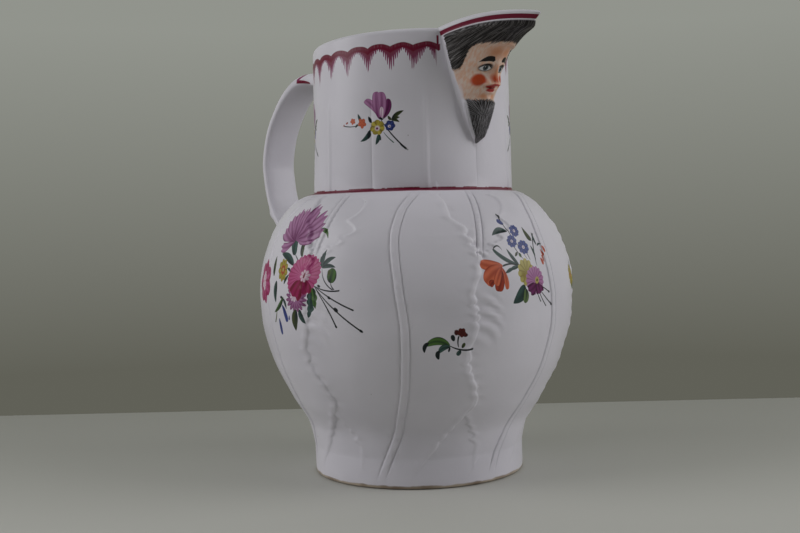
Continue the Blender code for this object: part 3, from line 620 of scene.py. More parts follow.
def handle_surface(jug, handle):
    """The strap's points, one row round each section. A section is a rounded rectangle: its half width and
    half thickness times powers of cosine and sine. Both grow exponentially towards the roots, and
    the section's plane turns upright there to lie against the wall."""
    body = jug.body
    reach = handle.reach - handle.thickness / 2
    crown = handle.crown_height - handle.thickness / 2
    inside = body.wall * handle.root_depth
    low_wall = float(jug.body_radius(np.array(handle.low_root)))
    line = [(body.mouth_radius - inside, handle.top_root)]
    line += [(body.mouth_radius + share * (reach - body.mouth_radius),
              handle.low_root + lift * (crown - handle.low_root)) for share, lift in HANDLE_LINE]
    knots = np.array(line + [(low_wall - inside, handle.low_root)])
    along = np.concatenate([[0], np.cumsum(np.linalg.norm(np.diff(knots, axis=0), axis=1))])
    share = np.linspace(0, 1, jug.mesh.handle_stations)
    line = spline_through(along, knots, share * along[-1])

    ahead = np.gradient(line, axis=0)
    normal = np.stack([-ahead[:, 1], ahead[:, 0]], axis=1)
    normal /= np.linalg.norm(normal, axis=1, keepdims=True)
    upright = np.stack([np.zeros_like(share), np.where(share < 0.5, 1.0, -1.0)], axis=1)
    at_root = np.maximum(1 - share / 0.08, np.maximum(1 - (1 - share) / 0.12, 0))[:, None]
    normal = normal * (1 - at_root) + upright * at_root
    normal /= np.linalg.norm(normal, axis=1, keepdims=True)

    top_flare, low_flare = np.exp(-share / 0.09), np.exp(-(1 - share) / 0.05)
    thick = handle.thickness + (handle.top_thickness - handle.thickness) * top_flare
    thick = thick + (handle.low_thickness - handle.thickness) * low_flare
    wide = handle.width + (handle.root_width - handle.width) * np.maximum(top_flare, low_flare)
    turn = (np.arange(jug.mesh.handle_sides) + 0.5) / jug.mesh.handle_sides * 2 * math.pi
    across = (np.sign(np.cos(turn)) * abs(np.cos(turn)) ** handle.squareness)[None, :] * wide[:, None] / 2
    raised = (np.sign(np.sin(turn)) * abs(np.sin(turn)) ** handle.squareness)[None, :] * thick[:, None] / 2
    spur = handle.spur * np.exp(-(((share - handle.spur_station) / 0.018) ** 2))
    raised = raised + spur[:, None] * ramp(np.sin(turn), 0.0, 0.8)[None, :]

    out = line[:, :1] + normal[:, :1] * raised
    height = line[:, 1:] + normal[:, 1:] * raised
    plane = math.radians(handle.azimuth)
    x = out * math.cos(plane) - across * math.sin(plane)
    y = out * math.sin(plane) + across * math.cos(plane)
    return np.stack([x, y, height], axis=-1)


def wrapped_mesh(name, points):
    """A closed mesh over rows of points: quads between the rows and round each row, and a flat face that
    closes each end."""
    rows, columns = points.shape[:2]
    index = np.arange(rows * columns).reshape(rows, columns)
    beside = np.roll(index, -1, axis=1)
    quads = np.stack([index[:-1], index[1:], beside[1:], beside[:-1]], axis=-1).reshape(-1, 4)
    mesh = bpy.data.meshes.new(name)
    mesh.from_pydata(points.reshape(-1, 3), [], quads.tolist())
    solid = bmesh.new()
    solid.from_mesh(mesh)
    bmesh.ops.holes_fill(solid, edges=[edge for edge in solid.edges if edge.is_boundary], sides=0)
    bmesh.ops.triangulate(solid, faces=solid.faces)
    bmesh.ops.recalc_face_normals(solid, faces=solid.faces)
    solid.to_mesh(mesh)
    solid.free()
    return mesh


def made_mesh(obj):
    """Applies the object's modifiers, so that its mesh is the shape they give."""
    graph = bpy.context.evaluated_depsgraph_get()
    mesh = bpy.data.meshes.new_from_object(obj.evaluated_get(graph))
    obj.modifiers.clear()
    obj.data = mesh


def placed(name, mesh):
    """A new object of the mesh, at the origin."""
    obj = bpy.data.objects.new(name, mesh)
    bpy.context.scene.collection.objects.link(obj)
    return obj


def made_jug(scene):
    """Builds the vessel's skin, thins it where it is smooth and unites it with the handle. The points are
    then kept a hair inside the CAD part's box."""
    jug = JugShape(scene)
    vessel = placed("jug", wrapped_mesh("jug", jug.skin()))
    thin = vessel.modifiers.new("thin", "DECIMATE")
    thin.ratio = jug.mesh.kept
    made_mesh(vessel)
    handle = placed("handle", wrapped_mesh("handle", handle_surface(jug, scene.jug_handle)))
    union = vessel.modifiers.new("join_handle", "BOOLEAN")
    union.operation = "UNION"
    union.solver = "EXACT"
    union.object = handle
    made_mesh(vessel)
    bpy.data.objects.remove(handle)
    points = np.empty(len(vessel.data.vertices) * 3, np.float32)
    vessel.data.vertices.foreach_get("co", points)
    kept = np.clip(points.reshape(-1, 3), np.array(JUG_LOW) + BOX_GAP, np.array(JUG_HIGH) - BOX_GAP)
    kept[:, 2] = np.where(points[2::3] < BOX_GAP, 0, kept[:, 2])
    vessel.data.vertices.foreach_set("co", kept.astype(np.float32).ravel())
    vessel.data.shade_smooth()
    return vessel


class Value:
    """A number that a node gives. Sums, products and powers of values add Math nodes."""

    def __init__(self, nodes, socket):
        self.nodes, self.socket = nodes, socket

    def math(self, operation, *others):
        """A Math node with this value first."""
        return self.nodes.math(operation, self, *others)

    def __add__(self, other):
        return self.math("ADD", other)

    def __radd__(self, other):
        return self.math("ADD", other)

    def __sub__(self, other):
        return self.math("SUBTRACT", other)

    def __rsub__(self, other):
        return self.nodes.math("SUBTRACT", other, self)

    def __mul__(self, other):
        return self.math("MULTIPLY", other)

    def __rmul__(self, other):
        return self.math("MULTIPLY", other)

    def __truediv__(self, other):
        return self.math("DIVIDE", other)

    def __pow__(self, other):
        return self.math("POWER", other)

    def __abs__(self):
        return self.math("ABSOLUTE")

    def other(self, output):
        """Another output of the same node."""
        return Value(self.nodes, self.socket.node.outputs[output])

    def sine(self):
        return self.math("SINE")

    def least(self, other):
        return self.math("MINIMUM", other)

    def most(self, other):
        return self.math("MAXIMUM", other)

    def ramp(self, low, high):
        """0 at low, 1 at high and smooth between, and the other way round if high is below low."""
        return self.nodes.add("ShaderNodeMapRange", {"interpolation_type": "SMOOTHSTEP"},
                              {0: self, 1: low, 2: high})


class Nodes:
    """The nodes of a material or of the world. A colour is a triple or the name of one of the enamels."""

    def __init__(self, owner, shader="Principled BSDF"):
        owner.use_nodes = True
        self.owner = owner
        self.tree = owner.node_tree
        self.shader = self.tree.nodes[shader]
        self.enamels = bpy.context.scene.jug_enamels

    def add(self, kind, settings=None, inputs=None, output=0):
        """A node of that type, with its settings set first and then its sockets' values or links."""
        node = self.tree.nodes.new(kind)
        for name, setting in (settings or {}).items():
            setattr(node, name, setting)
        for socket, value in (inputs or {}).items():
            self.feed(node.inputs[socket], value)
        return Value(self, node.outputs[output])

    def feed(self, socket, value):
        """Links a value to a socket, or sets the socket's own number or colour."""
        if isinstance(value, Value):
            self.tree.links.new(value.socket, socket)
        elif socket.type == "RGBA":
            colour = getattr(self.enamels, value) if isinstance(value, str) else value
            socket.default_value = (*colour, 1)
        else:
            socket.default_value = value

    def set(self, socket, value):
        """Feeds one of the shader's sockets."""
        self.feed(self.shader.inputs[socket], value)

    def math(self, operation, *values):
        return self.add("ShaderNodeMath", {"operation": operation}, dict(enumerate(values)))

    def mix(self, first, second, share):
        """The first colour where share is 0, and the second where it is 1."""
        return self.add("ShaderNodeMix", {"data_type": "RGBA"}, {0: share, 6: first, 7: second}, output=2)

    def parts(self, vector):
        """The x, y and z of a vector."""
        split = self.tree.nodes.new("ShaderNodeSeparateXYZ")
        self.feed(split.inputs[0], vector)
        return [Value(self, output) for output in split.outputs]

    def place(self):
        """The surface point in the jug's frame."""
        return self.add("ShaderNodeTexCoord", output="Object")

    def noise(self, vector, scale, detail=2.0):
        """Soft noise, from about 0 to 1, that changes over lengths of about 1 / scale."""
        return self.add("ShaderNodeTexNoise", None, {"Vector": vector, "Scale": scale, "Detail": detail})

    def point(self, x, y, z=0.0):
        """A vector of three values or numbers."""
        return self.add("ShaderNodeCombineXYZ", None, {0: x, 1: y, 2: z})


# A stroke's painted half width over the one it is given
STROKE_SPREAD = 1.35


class Brush:
    """Lays painted marks one over another on a chart. Places and widths are in mm on the chart."""

    def __init__(self, nodes, chart, ground, window=None):
        self.nodes, self.chart, self.colour, self.window = nodes, chart, ground, window

    def out_of_sight(self, places, margin):
        """Whether a mark lies wholly outside the brush's window, so that it can be left out."""
        if self.window is None:
            return False
        left, right, low, high = self.window
        across, up = zip(*places)
        return (max(across) + margin < left or min(across) - margin > right
                or max(up) + margin < low or min(up) - margin > high)

    def lay(self, colour, cover):
        self.colour = self.nodes.mix(self.colour, colour, cover)

    def seen_from(self, place, size, turn=0.0):
        """The chart's point in a mark's own axes, in shares of the mark's size."""
        return self.nodes.add("ShaderNodeMapping", {"vector_type": "TEXTURE"},
                              {"Vector": self.chart, "Location": (*place, 0),
                               "Rotation": (0, 0, turn), "Scale": (*size, 1)})

    def along(self, root, tip, width, bend):
        """Along and across a mark from root to tip, in shares of its length and half width. The middle
        line is a parabola that stands off the straight line by bend."""
        reach = Vector(tip) - Vector(root)
        turn = math.atan2(reach.y, reach.x)
        along, across, _ = self.nodes.parts(self.seen_from(root, (reach.length, width), turn))
        if bend:
            across = across - along * (1 - along) * (4 * bend / width)
        return along, across

    def stroke(self, root, tip, width, colour, bend=0.0, root_share=0.25):
        """A bent line that swells to its tip: its half width grows with the root of the length."""
        if self.out_of_sight((root, tip), width + abs(bend)):
            return
        width = width * STROKE_SPREAD
        along, across = self.along(root, tip, width, bend)
        swell = (along.most(0.0).least(1.0)) ** root_share
        ends = along.ramp(0.0, 0.4 / self.span(root, tip)) * along.ramp(1.0, 1 - 0.5 / self.span(root, tip))
        self.lay(colour, (swell - abs(across)).ramp(0.0, min(0.9, 0.16 / width)) * ends)

    def span(self, root, tip):
        return (Vector(tip) - Vector(root)).length

    def petal(self, root, tip, width, light, dark, bend=0.0, full=(0.7, 0.3), streaks=5.0, ragged=0.0,
              lobes=0, deep=0.55):
        """A petal or leaf: its half width is u^p (1 - u)^q of the length, with dark edges, darker streaks
        along it and a darker root. A ragged tip shifts u by a sine of the place across."""
        if self.out_of_sight((root, tip), width + abs(bend)):
            return
        along, across = self.along(root, tip, width, bend)
        if ragged:
            along = along + (across * 7.0).sine() * ragged
        early, late = full
        peak = (early / (early + late)) ** early * (late / (early + late)) ** late
        half = along ** early * (1 - along) ** late * (1 / peak)
        if lobes:
            half = half * (0.72 + 0.28 * abs((along * (lobes * math.pi)).sine()))
        beside = abs(across)
        cover = (half - beside).ramp(0.0, min(0.8, 0.22 / width))
        edge = (beside / half.most(0.05)).least(1.0) ** 2.5
        shade = edge * 0.85 + (across * streaks + along * 2.0).sine() * 0.45 + (1 - along) * deep
        self.lay(self.nodes.mix(light, dark, shade), cover)

    def rosette(self, place, size, turn, petals, light, dark, deep=0.5, cut=0.16, lines=0.0):
        """A round flower: its edge is cut in by 1 - |sine| of the angle, with dark lines between the
        petals and a dark that grows inwards (or outwards, where deep is under 0)."""
        if self.out_of_sight((place,), max(size)):
            return
        around, up, _ = self.nodes.parts(self.seen_from(place, size, turn))
        radius = (around * around + up * up) ** 0.5
        wave = abs((up.math("ARCTAN2", around) * (petals / 2)).sine())
        cover = (1 - cut * (1 - wave) - radius).ramp(0.0, 0.22 / min(size))
        gap = (1 - wave) ** 2.5
        shade = gap * 0.8 + (1 - radius if deep > 0 else radius) * abs(deep)
        if lines:
            shade = shade + (up.math("ARCTAN2", around) * lines).sine() * 0.3
        self.lay(self.nodes.mix(light, dark, shade), cover)

    def dot(self, place, size, colour, turn=0.0, soft=0.3):
        """A small ellipse."""
        if self.out_of_sight((place,), max(size)):
            return
        away = self.nodes.add("ShaderNodeVectorMath", {"operation": "LENGTH"},
                              {0: self.seen_from(place, size, turn)}, output=1)
        self.lay(colour, away.ramp(1.0, 1 - soft))


def glaze_ground(nodes):
    """The white glaze's colour: a cool white that drifts slowly to a greyer one, with a few dark specks
    where a cell's middle is near and its random number is high. It also feeds the roughness and the soft
    unevenness of the surface."""
    place = nodes.place()
    drift = nodes.noise(place, 22.0, 2.0)
    colour = nodes.mix("glaze_white", "glaze_grey", drift.ramp(0.35, 0.75))
    cells = nodes.add("ShaderNodeTexVoronoi", None, {"Vector": place, "Scale": 150.0})
    chance = nodes.parts(cells.other("Color"))[0]
    speck = cells.ramp(0.055, 0.02) * chance.ramp(0.86, 0.9)
    colour = nodes.mix(colour, "speck_brown", speck * 0.75)
    nodes.set("Roughness", nodes.noise(place, 60.0) * 0.10 + 0.25)
    dents = nodes.noise(place, 70.0, 3.0)
    uneven = nodes.add("ShaderNodeBump", None, {"Strength": 0.12, "Distance": 0.002, "Height": dents})
    nodes.set("Normal", uneven)
    nodes.set("IOR", 1.4)
    nodes.set("Specular IOR Level", 0.3)
    return colour


def glazed(name):
    """A new material and the colour of the glaze in it."""
    nodes = Nodes(bpy.data.materials.new(name))
    return nodes, glaze_ground(nodes)


def bouquet(brush):
    """A carnation over a pink daisy, with smaller flowers, leaves and a fan of stems."""
    leaf = dict(full=(0.6, 0.8), streaks=3.0)
    for tip, bend in (((21.1, -7.3), -1.2), ((27.2, -16.2), -0.6), ((30.9, -25.9), -1.0),
                      ((18.3, -24.1), 0.8)):
        brush.stroke((6.5, -5.2), tip, 0.34, "ink", bend)
    for place, size, turn in (((9.4, -5.4), (1.1, 0.7), -0.5), ((15.3, -10.7), (1.2, 0.7), -0.6),
                              ((18.7, -16.3), (1.6, 1.1), -0.7), ((27.2, -16.2), (0.9, 0.5), -0.4),
                              ((30.9, -25.9), (1.4, 0.7), -0.6), ((18.3, -24.1), (0.9, 0.6), -0.9)):
        brush.dot(place, size, "ink", turn)
    brush.stroke((10.6, 3.0), (17.5, -7.2), 0.28, "ink", -1.8)
    brush.stroke((15.9, -3.5), (18.2, -7.1), 0.28, "ink", -0.5)
    brush.petal((16.2, -4.0), (16.6, 3.0), 2.7, "green", "dark_teal", full=(0.5, 0.5))
    brush.dot((14.8, 1.0), (1.0, 1.4), "olive")
    for tip, width, bend in (((12.1, 11.8), 1.3, 0.9), ((17.8, 8.0), 1.3, 1.2), ((18.2, 3.2), 1.1, 0.9),
                             ((9.2, 8.6), 0.9, 0.2)):
        brush.petal((10.6, 3.0), tip, width, "teal", "dark_teal", bend, **leaf)

    brush.stroke((-8.7, 9.5), (-2.0, 2.0), 0.35, "dark_teal", 0.4)
    brush.petal((-3.0, 8.2), (-2.2, 17.4), 1.5, "olive", "dark_teal", 1.3, full=(0.3, 0.3), streaks=2.0)
    brush.petal((3.0, 20.6), (10.8, 16.6), 1.1, "green", "dark_teal", 2.0, full=(0.5, 0.6))
    brush.petal((-8.7, 9.0), (-12.2, 17.5), 2.6, "teal", "dark_teal", 0.3, full=(0.35, 0.12), deep=0.4)
    for tip, width, bend in (((-23.4, 12.4), 2.6, 1.2), ((-26.8, 20.5), 3.2, 0.8),
                             ((-25.2, 26.6), 3.4, 0.5), ((-19.5, 30.0), 3.2, 0.2),
                             ((2.2, 17.2), 2.8, -0.8), ((5.6, 21.2), 3.4, -0.8),
                             ((3.8, 27.4), 3.6, -0.4), ((-5.0, 31.6), 3.8, -0.3),
                             ((-12.5, 30.6), 3.2, 0.0)):
        brush.petal((-11.6, 16.0), tip, width, "mauve", "purple", bend, full=(0.9, 0.22), streaks=6.0,
                    ragged=0.06)
    brush.petal((-8.0, 4.2), (-21.2, 9.6), 2.0, "teal", "dark_teal", -1.2, **leaf)
    brush.petal((-25.9, -1.4), (-26.2, 8.6), 1.5, "olive", "dark_teal", 0.4, **leaf)

    brush.petal((-22.4, -3.4), (-22.8, -14.2), 1.9, "teal", "dark_teal", -0.6, **leaf)
    brush.petal((-15.0, -11.0), (-25.4, -19.0), 1.3, "green", "dark_teal", 1.0, **leaf)
    brush.petal((-15.6, -11.6), (-13.0, -17.0), 1.0, "teal", "dark_teal", 0.5, **leaf)
    brush.stroke((-22.0, -16.0), (-25.4, -24.0), 0.4, "olive", 0.6)
    brush.dot((-17.0, -11.3), (1.3, 0.8), "ink")
    brush.petal((-16.6, -14.8), (-13.0, -23.0), 1.5, "blue", "deep_blue", 0.3, full=(0.5, 0.25))
    brush.petal((-20.6, -21.6), (-19.8, -29.6), 1.3, "blue", "deep_blue", 0.3, full=(0.5, 0.3))
    brush.petal((-11.0, -19.6), (-11.4, -22.0), 0.7, "blue", "deep_blue")

    brush.rosette((-38.0, -4.4), (8.8, 11.4), 0.1, 7, "pink", "rose", -0.9, cut=0.2, lines=12.0)
    brush.rosette((-38.8, -4.0), (3.8, 5.0), 0.1, 6, "pale", "pink", 0.2, cut=0.3)
    brush.rosette((-17.0, 1.8), (4.6, 5.8), 0.1, 9, "yellow", "ochre", -0.5, cut=0.2)
    brush.rosette((-16.9, 1.9), (2.1, 2.7), 0.0, 6, "orange_ring", "brick", 0.3)
    brush.dot((-16.9, 2.0), (0.9, 1.2), "pale_yellow")
    brush.petal((-13.2, 2.8), (-9.4, 0.6), 0.8, "teal", "dark_teal", 0.4, **leaf)
    brush.petal((-15.0, -5.0), (-10.8, 0.0), 0.9, "teal", "dark_teal", 0.5, **leaf)

    brush.rosette((-5.2, -11.6), (7.6, 6.6), 0.1, 15, "mauve", "purple", -0.75, cut=0.3)
    brush.rosette((-6.0, -10.4), (3.6, 2.8), 0.2, 9, "pale", "mauve", 0.3, cut=0.3)
    brush.petal((4.6, -6.0), (2.4, -20.4), 2.7, "teal", "dark_teal", 1.0, full=(0.4, 0.6), lobes=5)
    brush.petal((5.4, -6.0), (7.0, -16.0), 1.9, "green", "dark_teal", 0.6, full=(0.4, 0.6), lobes=3)
    brush.petal((-5.6, -16.6), (-6.6, -27.0), 2.4, "olive", "dark_teal", -0.7, **leaf)
    brush.petal((-3.2, -16.6), (0.8, -23.2), 1.7, "teal", "dark_teal", -0.6, **leaf)
    brush.rosette((-0.9, -0.6), (12.2, 9.0), 0.62, 26, "pink", "rose", -0.35, cut=0.07)
    shaded = dict(full=(0.8, 0.2), streaks=9.0, ragged=0.05)
    brush.petal((-1.0, -2.0), (-6.4, -10.6), 4.6, "rose", "deep_rose", 0.0, **shaded)
    brush.petal((0.5, -1.6), (1.4, -9.0), 3.6, "rose", "deep_rose", 0.6, **shaded)
    brush.rosette((0.9, -0.7), (3.4, 3.0), 0.5, 8, "pale", "pink", -0.25, cut=0.25)
    brush.dot((0.8, -0.5), (0.8, 1.7), "deep_rose", -0.3)


def yellow_flower(brush):
    """A yellow flower with a leaf below it."""
    brush.petal((-0.5, -1.0), (2.4, -7.8), 1.8, "green", "dark_teal", 0.8, full=(0.6, 0.8), streaks=3.0)
    brush.petal((0.5, 3.0), (3.6, 7.8), 1.3, "teal", "dark_teal", -0.6, full=(0.6, 0.8), streaks=3.0)
    brush.rosette((0.0, 0.0), (4.4, 5.8), 0.2, 9, "yellow", "ochre", -0.5, cut=0.2)
    brush.dot((0.0, 0.0), (1.3, 1.8), "orange_ring")


def tulip_spray(brush):
    """Forget-me-nots over a tulip, a yellow flower and a purple aster, with a twig of red bells."""
    leaf = dict(full=(0.6, 0.8), streaks=3.0)
    for root, tip, bend in (((6.0, -10.0), (15.8, -14.4), 0.3), ((6.6, -11.0), (18.2, -20.6), -0.5),
                            ((6.4, -11.5), (13.8, -21.4), -0.4), ((5.6, -12.0), (9.6, -19.0), -0.3)):
        brush.stroke(root, tip, 0.28, "ink", bend)
    brush.dot((15.8, -14.4), (0.9, 0.6), "ink", -0.5)
    brush.dot((18.0, -20.4), (1.3, 0.8), "ink", -0.9)

    brush.stroke((2.6, 1.4), (-8.8, 22.4), 0.26, "ink", 0.8)
    brush.stroke((0.6, 1.0), (-5.4, 9.0), 0.24, "ink", 0.5)
    brush.stroke((4.4, 1.0), (2.6, 5.0), 0.24, "ink", 0.0)
    brush.dot((-8.5, 22.4), (0.7, 1.3), "dark_teal", 0.5)
    brush.petal((-6.6, 18.4), (-10.2, 20.4), 1.2, "blue", "deep_blue", full=(0.5, 0.35))
    brush.petal((-6.4, 15.2), (-16.0, 13.2), 1.5, "teal", "dark_teal", -1.4, **leaf)
    for place, size, turn in (((-1.6, 15.2), 3.3, 0.2), ((-5.2, 10.4), 3.4, 0.5), ((1.4, 7.4), 3.9, 0.0)):
        brush.rosette(place, (size, size * 0.9), turn, 9, "blue", "deep_blue", 0.35, cut=0.14, lines=9.0)
        brush.dot(place, (size * 0.26, size * 0.24), "pale")
        brush.dot(place, (0.35, 0.35), "deep_blue")
    brush.petal((-3.4, 5.2), (-5.4, 3.2), 0.8, "olive", "dark_teal", **leaf)
    brush.petal((-2.6, 4.8), (-1.4, 2.6), 0.9, "green", "dark_teal", **leaf)
    brush.petal((8.4, 10.4), (4.8, 17.2), 1.5, "olive", "dark_teal", 0.5, full=(0.35, 0.9))
    brush.petal((9.0, 10.2), (6.0, 12.6), 0.7, "olive", "dark_teal", 0.2, **leaf)

    brush.stroke((8.4, -2.0), (11.8, 14.0), 0.34, "dark_teal", 1.6)
    brush.stroke((8.4, 1.0), (6.8, 8.0), 0.3, "dark_teal", -0.4)
    brush.petal((8.4, 2.6), (6.6, 8.2), 0.8, "teal", "dark_teal", -0.3, **leaf)
    brush.petal((11.8, 8.0), (10.8, 14.6), 0.8, "teal", "dark_teal", 0.4, **leaf)
    brush.petal((12.0, 7.6), (16.0, 8.4), 0.6, "teal", "dark_teal", 0.7, **leaf)
    for across, up in ((16.6, 6.2), (14.8, 4.4), (13.2, 0.4), (14.6, 1.8)):
        brush.petal((across - 0.9, up + 1.6), (across + 0.7, up - 1.7), 0.95, "salmon", "orange",
                    0.2, full=(0.5, 0.3), streaks=2.0)
    brush.dot((18.4, 7.4), (1.2, 0.8), "faded_red", 0.4, 0.8)

    brush.petal((-3.6, -0.9), (-17.6, 7.0), 1.1, "teal", "dark_teal", 1.2, full=(0.4, 0.3))
    brush.petal((-17.8, 6.6), (-12.2, 6.0), 0.5, "dark_teal", "dark_teal", 2.2, full=(0.3, 0.5))
    brush.petal((-3.8, -0.8), (-9.9, 7.2), 1.0, "teal", "dark_teal", 0.4, **leaf)
    brush.petal((-4.0, -1.4), (-12.4, -4.4), 1.1, "teal", "dark_teal", -0.5, full=(0.4, 0.5), lobes=2)
    brush.stroke((-4.0, -1.0), (-13.6, -1.0), 0.4, "dark_teal", -0.9)
    tulip = dict(full=(0.5, 0.28), streaks=5.0)
    brush.petal((-13.4, -1.0), (-25.2, 0.6), 2.6, "salmon", "orange", 0.3, **tulip)
    brush.petal((-14.0, -1.6), (-11.8, -11.8), 1.4, "salmon", "orange", 0.5, **tulip)
    brush.petal((-14.8, -2.4), (-16.4, -12.6), 2.6, "orange", "brick", 0.0, **tulip)
    brush.petal((-14.0, -1.0), (-22.8, -8.6), 3.7, "salmon", "orange", -1.2, **tulip)
    brush.petal((-18.4, -7.4), (-20.6, -10.2), 1.6, "orange", "brick", -0.6, full=(0.4, 0.4))
    brush.petal((-14.6, -1.8), (-17.6, -9.8), 1.9, "salmon", "orange", -0.4, **tulip)

    brush.rosette((0.4, -4.4), (5.6, 6.8), 0.1, 11, "pale_yellow", "ochre", 0.45, cut=0.14)
    brush.dot((-1.6, -5.4), (2.2, 2.8), "mustard", 0.0, 0.9)
    brush.petal((-1.6, -10.2), (-8.6, -18.6), 2.9, "teal", "dark_teal", 1.3, **leaf)
    brush.petal((-1.0, -12.0), (-1.2, -18.8), 1.9, "pale_green", "dark_teal", 0.2, full=(0.5, 0.4))
    brush.rosette((5.7, -8.4), (6.5, 7.0), 0.0, 17, "mauve", "purple", 0.15, cut=0.12)
    shaded = dict(full=(0.8, 0.2), streaks=8.0, ragged=0.05)
    brush.petal((6.4, -9.4), (1.4, -13.6), 3.2, "purple", "deep_purple", 0.4, **shaded)
    brush.petal((6.8, -9.2), (9.4, -14.4), 3.0, "purple", "deep_purple", -0.2, **shaded)
    brush.dot((7.0, -8.4), (1.5, 2.0), "pale_yellow", -0.3)
    brush.dot((7.0, -8.4), (0.5, 0.9), "ink", -0.3)


def neck_spray(brush):
    """A purple tulip over a yellow rose, a blue flower and a trail of red blossoms."""
    leaf = dict(full=(0.6, 0.8), streaks=3.0)
    brush.stroke((2.0, 1.6), (14.6, -13.4), 0.34, "ink", -0.7)
    brush.stroke((3.6, -5.0), (9.0, -10.6), 0.26, "teal", -0.3)
    brush.petal((11.6, -11.0), (15.6, -14.2), 0.6, "ink", "ink", 0.0, full=(0.4, 0.3))
    brush.petal((2.2, 0.6), (-5.6, 10.6), 2.0, "mauve", "purple", -1.3, full=(0.9, 0.25))
    brush.petal((2.0, 0.8), (0.2, 14.2), 2.3, "mauve", "purple", 0.5, full=(0.6, 0.3))
    brush.petal((3.6, 1.0), (6.6, 10.6), 1.6, "purple", "deep_purple", -1.1, full=(0.6, 0.3))
    brush.petal((2.8, 1.0), (2.8, 14.0), 2.4, "mauve", "purple", -0.6, full=(0.6, 0.3))
    brush.petal((2.9, 1.4), (3.0, 7.0), 1.2, "pale", "mauve", 0.0, full=(0.6, 0.5))
    brush.dot((2.6, 1.3), (1.4, 0.6), "dark_teal", -0.5)
    for tip, width, bend in (((14.0, 4.8), 1.1, 0.6), ((12.0, 1.6), 0.9, 0.4), ((11.8, -0.8), 0.8, 0.5),
                             ((6.0, 2.6), 0.8, 0.2)):
        brush.petal((7.8, 0.4), tip, width, "olive", "ink", bend, **leaf)
    brush.petal((-7.4, -0.6), (-9.9, 4.4), 0.9, "teal", "dark_teal", 0.2, **leaf)
    brush.petal((-2.6, -0.6), (-4.2, 2.8), 0.9, "ink", "ink", 0.0, **leaf)
    brush.petal((-10.0, -0.6), (-11.4, -2.4), 0.6, "olive", "dark_teal", 0.0, **leaf)
    brush.petal((-3.2, -3.6), (-8.8, -9.2), 1.2, "teal", "dark_teal", 1.2, **leaf)
    brush.petal((-4.0, -4.2), (-4.4, -8.2), 1.1, "dark_teal", "ink", 0.3, **leaf)
    brush.petal((1.2, -6.0), (-0.5, -11.2), 1.1, "teal", "dark_teal", 0.4, **leaf)
    brush.petal((1.2, -6.0), (2.4, -9.2), 0.9, "teal", "dark_teal", -0.2, **leaf)
    brush.stroke((-6.0, -0.4), (-18.6, -1.0), 0.25, "dark_teal", 1.0)
    brush.rosette((-7.6, -0.4), (2.4, 2.7), 0.3, 5, "salmon", "orange", -0.4, cut=0.3)
    brush.rosette((-12.8, 0.8), (1.7, 1.7), 0.1, 5, "salmon", "orange", -0.4, cut=0.3)
    brush.dot((-16.4, 0.2), (0.9, 0.5), "orange", 0.5)
    brush.dot((-18.4, -0.8), (0.6, 0.4), "orange", 0.9)
    brush.rosette((0.5, -2.8), (4.0, 3.8), 0.2, 7, "yellow", "ochre", -0.45, cut=0.12, lines=5.0)
    brush.dot((0.5, -3.2), (1.8, 1.7), "pale", 0.0, 0.6)
    brush.dot((0.4, -3.3), (0.8, 0.7), "purple")
    brush.rosette((7.0, -2.2), (2.8, 2.7), 0.4, 6, "blue", "deep_blue", -0.7, cut=0.16)
    brush.dot((6.7, -2.5), (0.9, 0.8), "pale")
    brush.dot((6.9, -2.6), (0.35, 0.35), "deep_blue")


def sprig(brush):
    """Two long leaves and a small dark red flower on a stem."""
    brush.petal((0.8, -0.2), (-10.4, 0.2), 2.0, "green", "dark_teal", -2.0, full=(0.5, 0.4), deep=0.3)
    brush.petal((-9.4, 1.4), (-11.2, -3.4), 1.1, "dark_teal", "ink", -0.8, full=(0.3, 0.5))
    brush.petal((1.0, -0.8), (-4.6, -3.4), 1.5, "teal", "dark_teal", -1.0, full=(0.5, 0.4), deep=0.3)
    brush.petal((-4.6, -2.6), (-4.4, -6.8), 1.2, "dark_teal", "ink", -0.5, full=(0.3, 0.5))
    brush.stroke((0.6, -0.4), (12.6, -2.4), 0.42, "ink", -1.2)
    brush.stroke((5.0, -1.6), (4.9, 4.2), 0.36, "ink", 0.5)
    brush.petal((2.6, 1.6), (1.6, 4.6), 1.1, "dark_teal", "ink", 0.0, full=(0.5, 0.4))
    brush.petal((6.6, -1.8), (7.8, 0.6), 0.9, "olive", "dark_teal", 0.0, full=(0.5, 0.4))
    brush.petal((6.0, -2.8), (4.4, -5.2), 1.2, "teal", "ink", 0.0, full=(0.5, 0.4))
    brush.petal((0.8, -1.0), (0.2, -3.4), 0.6, "dark_teal", "ink", 0.0, full=(0.5, 0.4))
    brush.dot((3.7, 5.6), (1.3, 1.5), "oxblood")
    brush.dot((7.9, 4.3), (1.4, 1.1), "oxblood")
    brush.rosette((6.2, 5.5), (2.2, 2.4), 0.3, 5, "rust", "oxblood", 0.6, cut=0.2)


# The comb border: the radius that its lengths are measured at and the distance between two lines of a tuft,
# in mm, and where its first arch starts and how wide an arch is, in degrees
COMB_RADIUS = 51.0
TUFT_LINE_SPACING = 0.98
FIRST_ARCH = 21.8
ARCH_WIDTH = 13.17


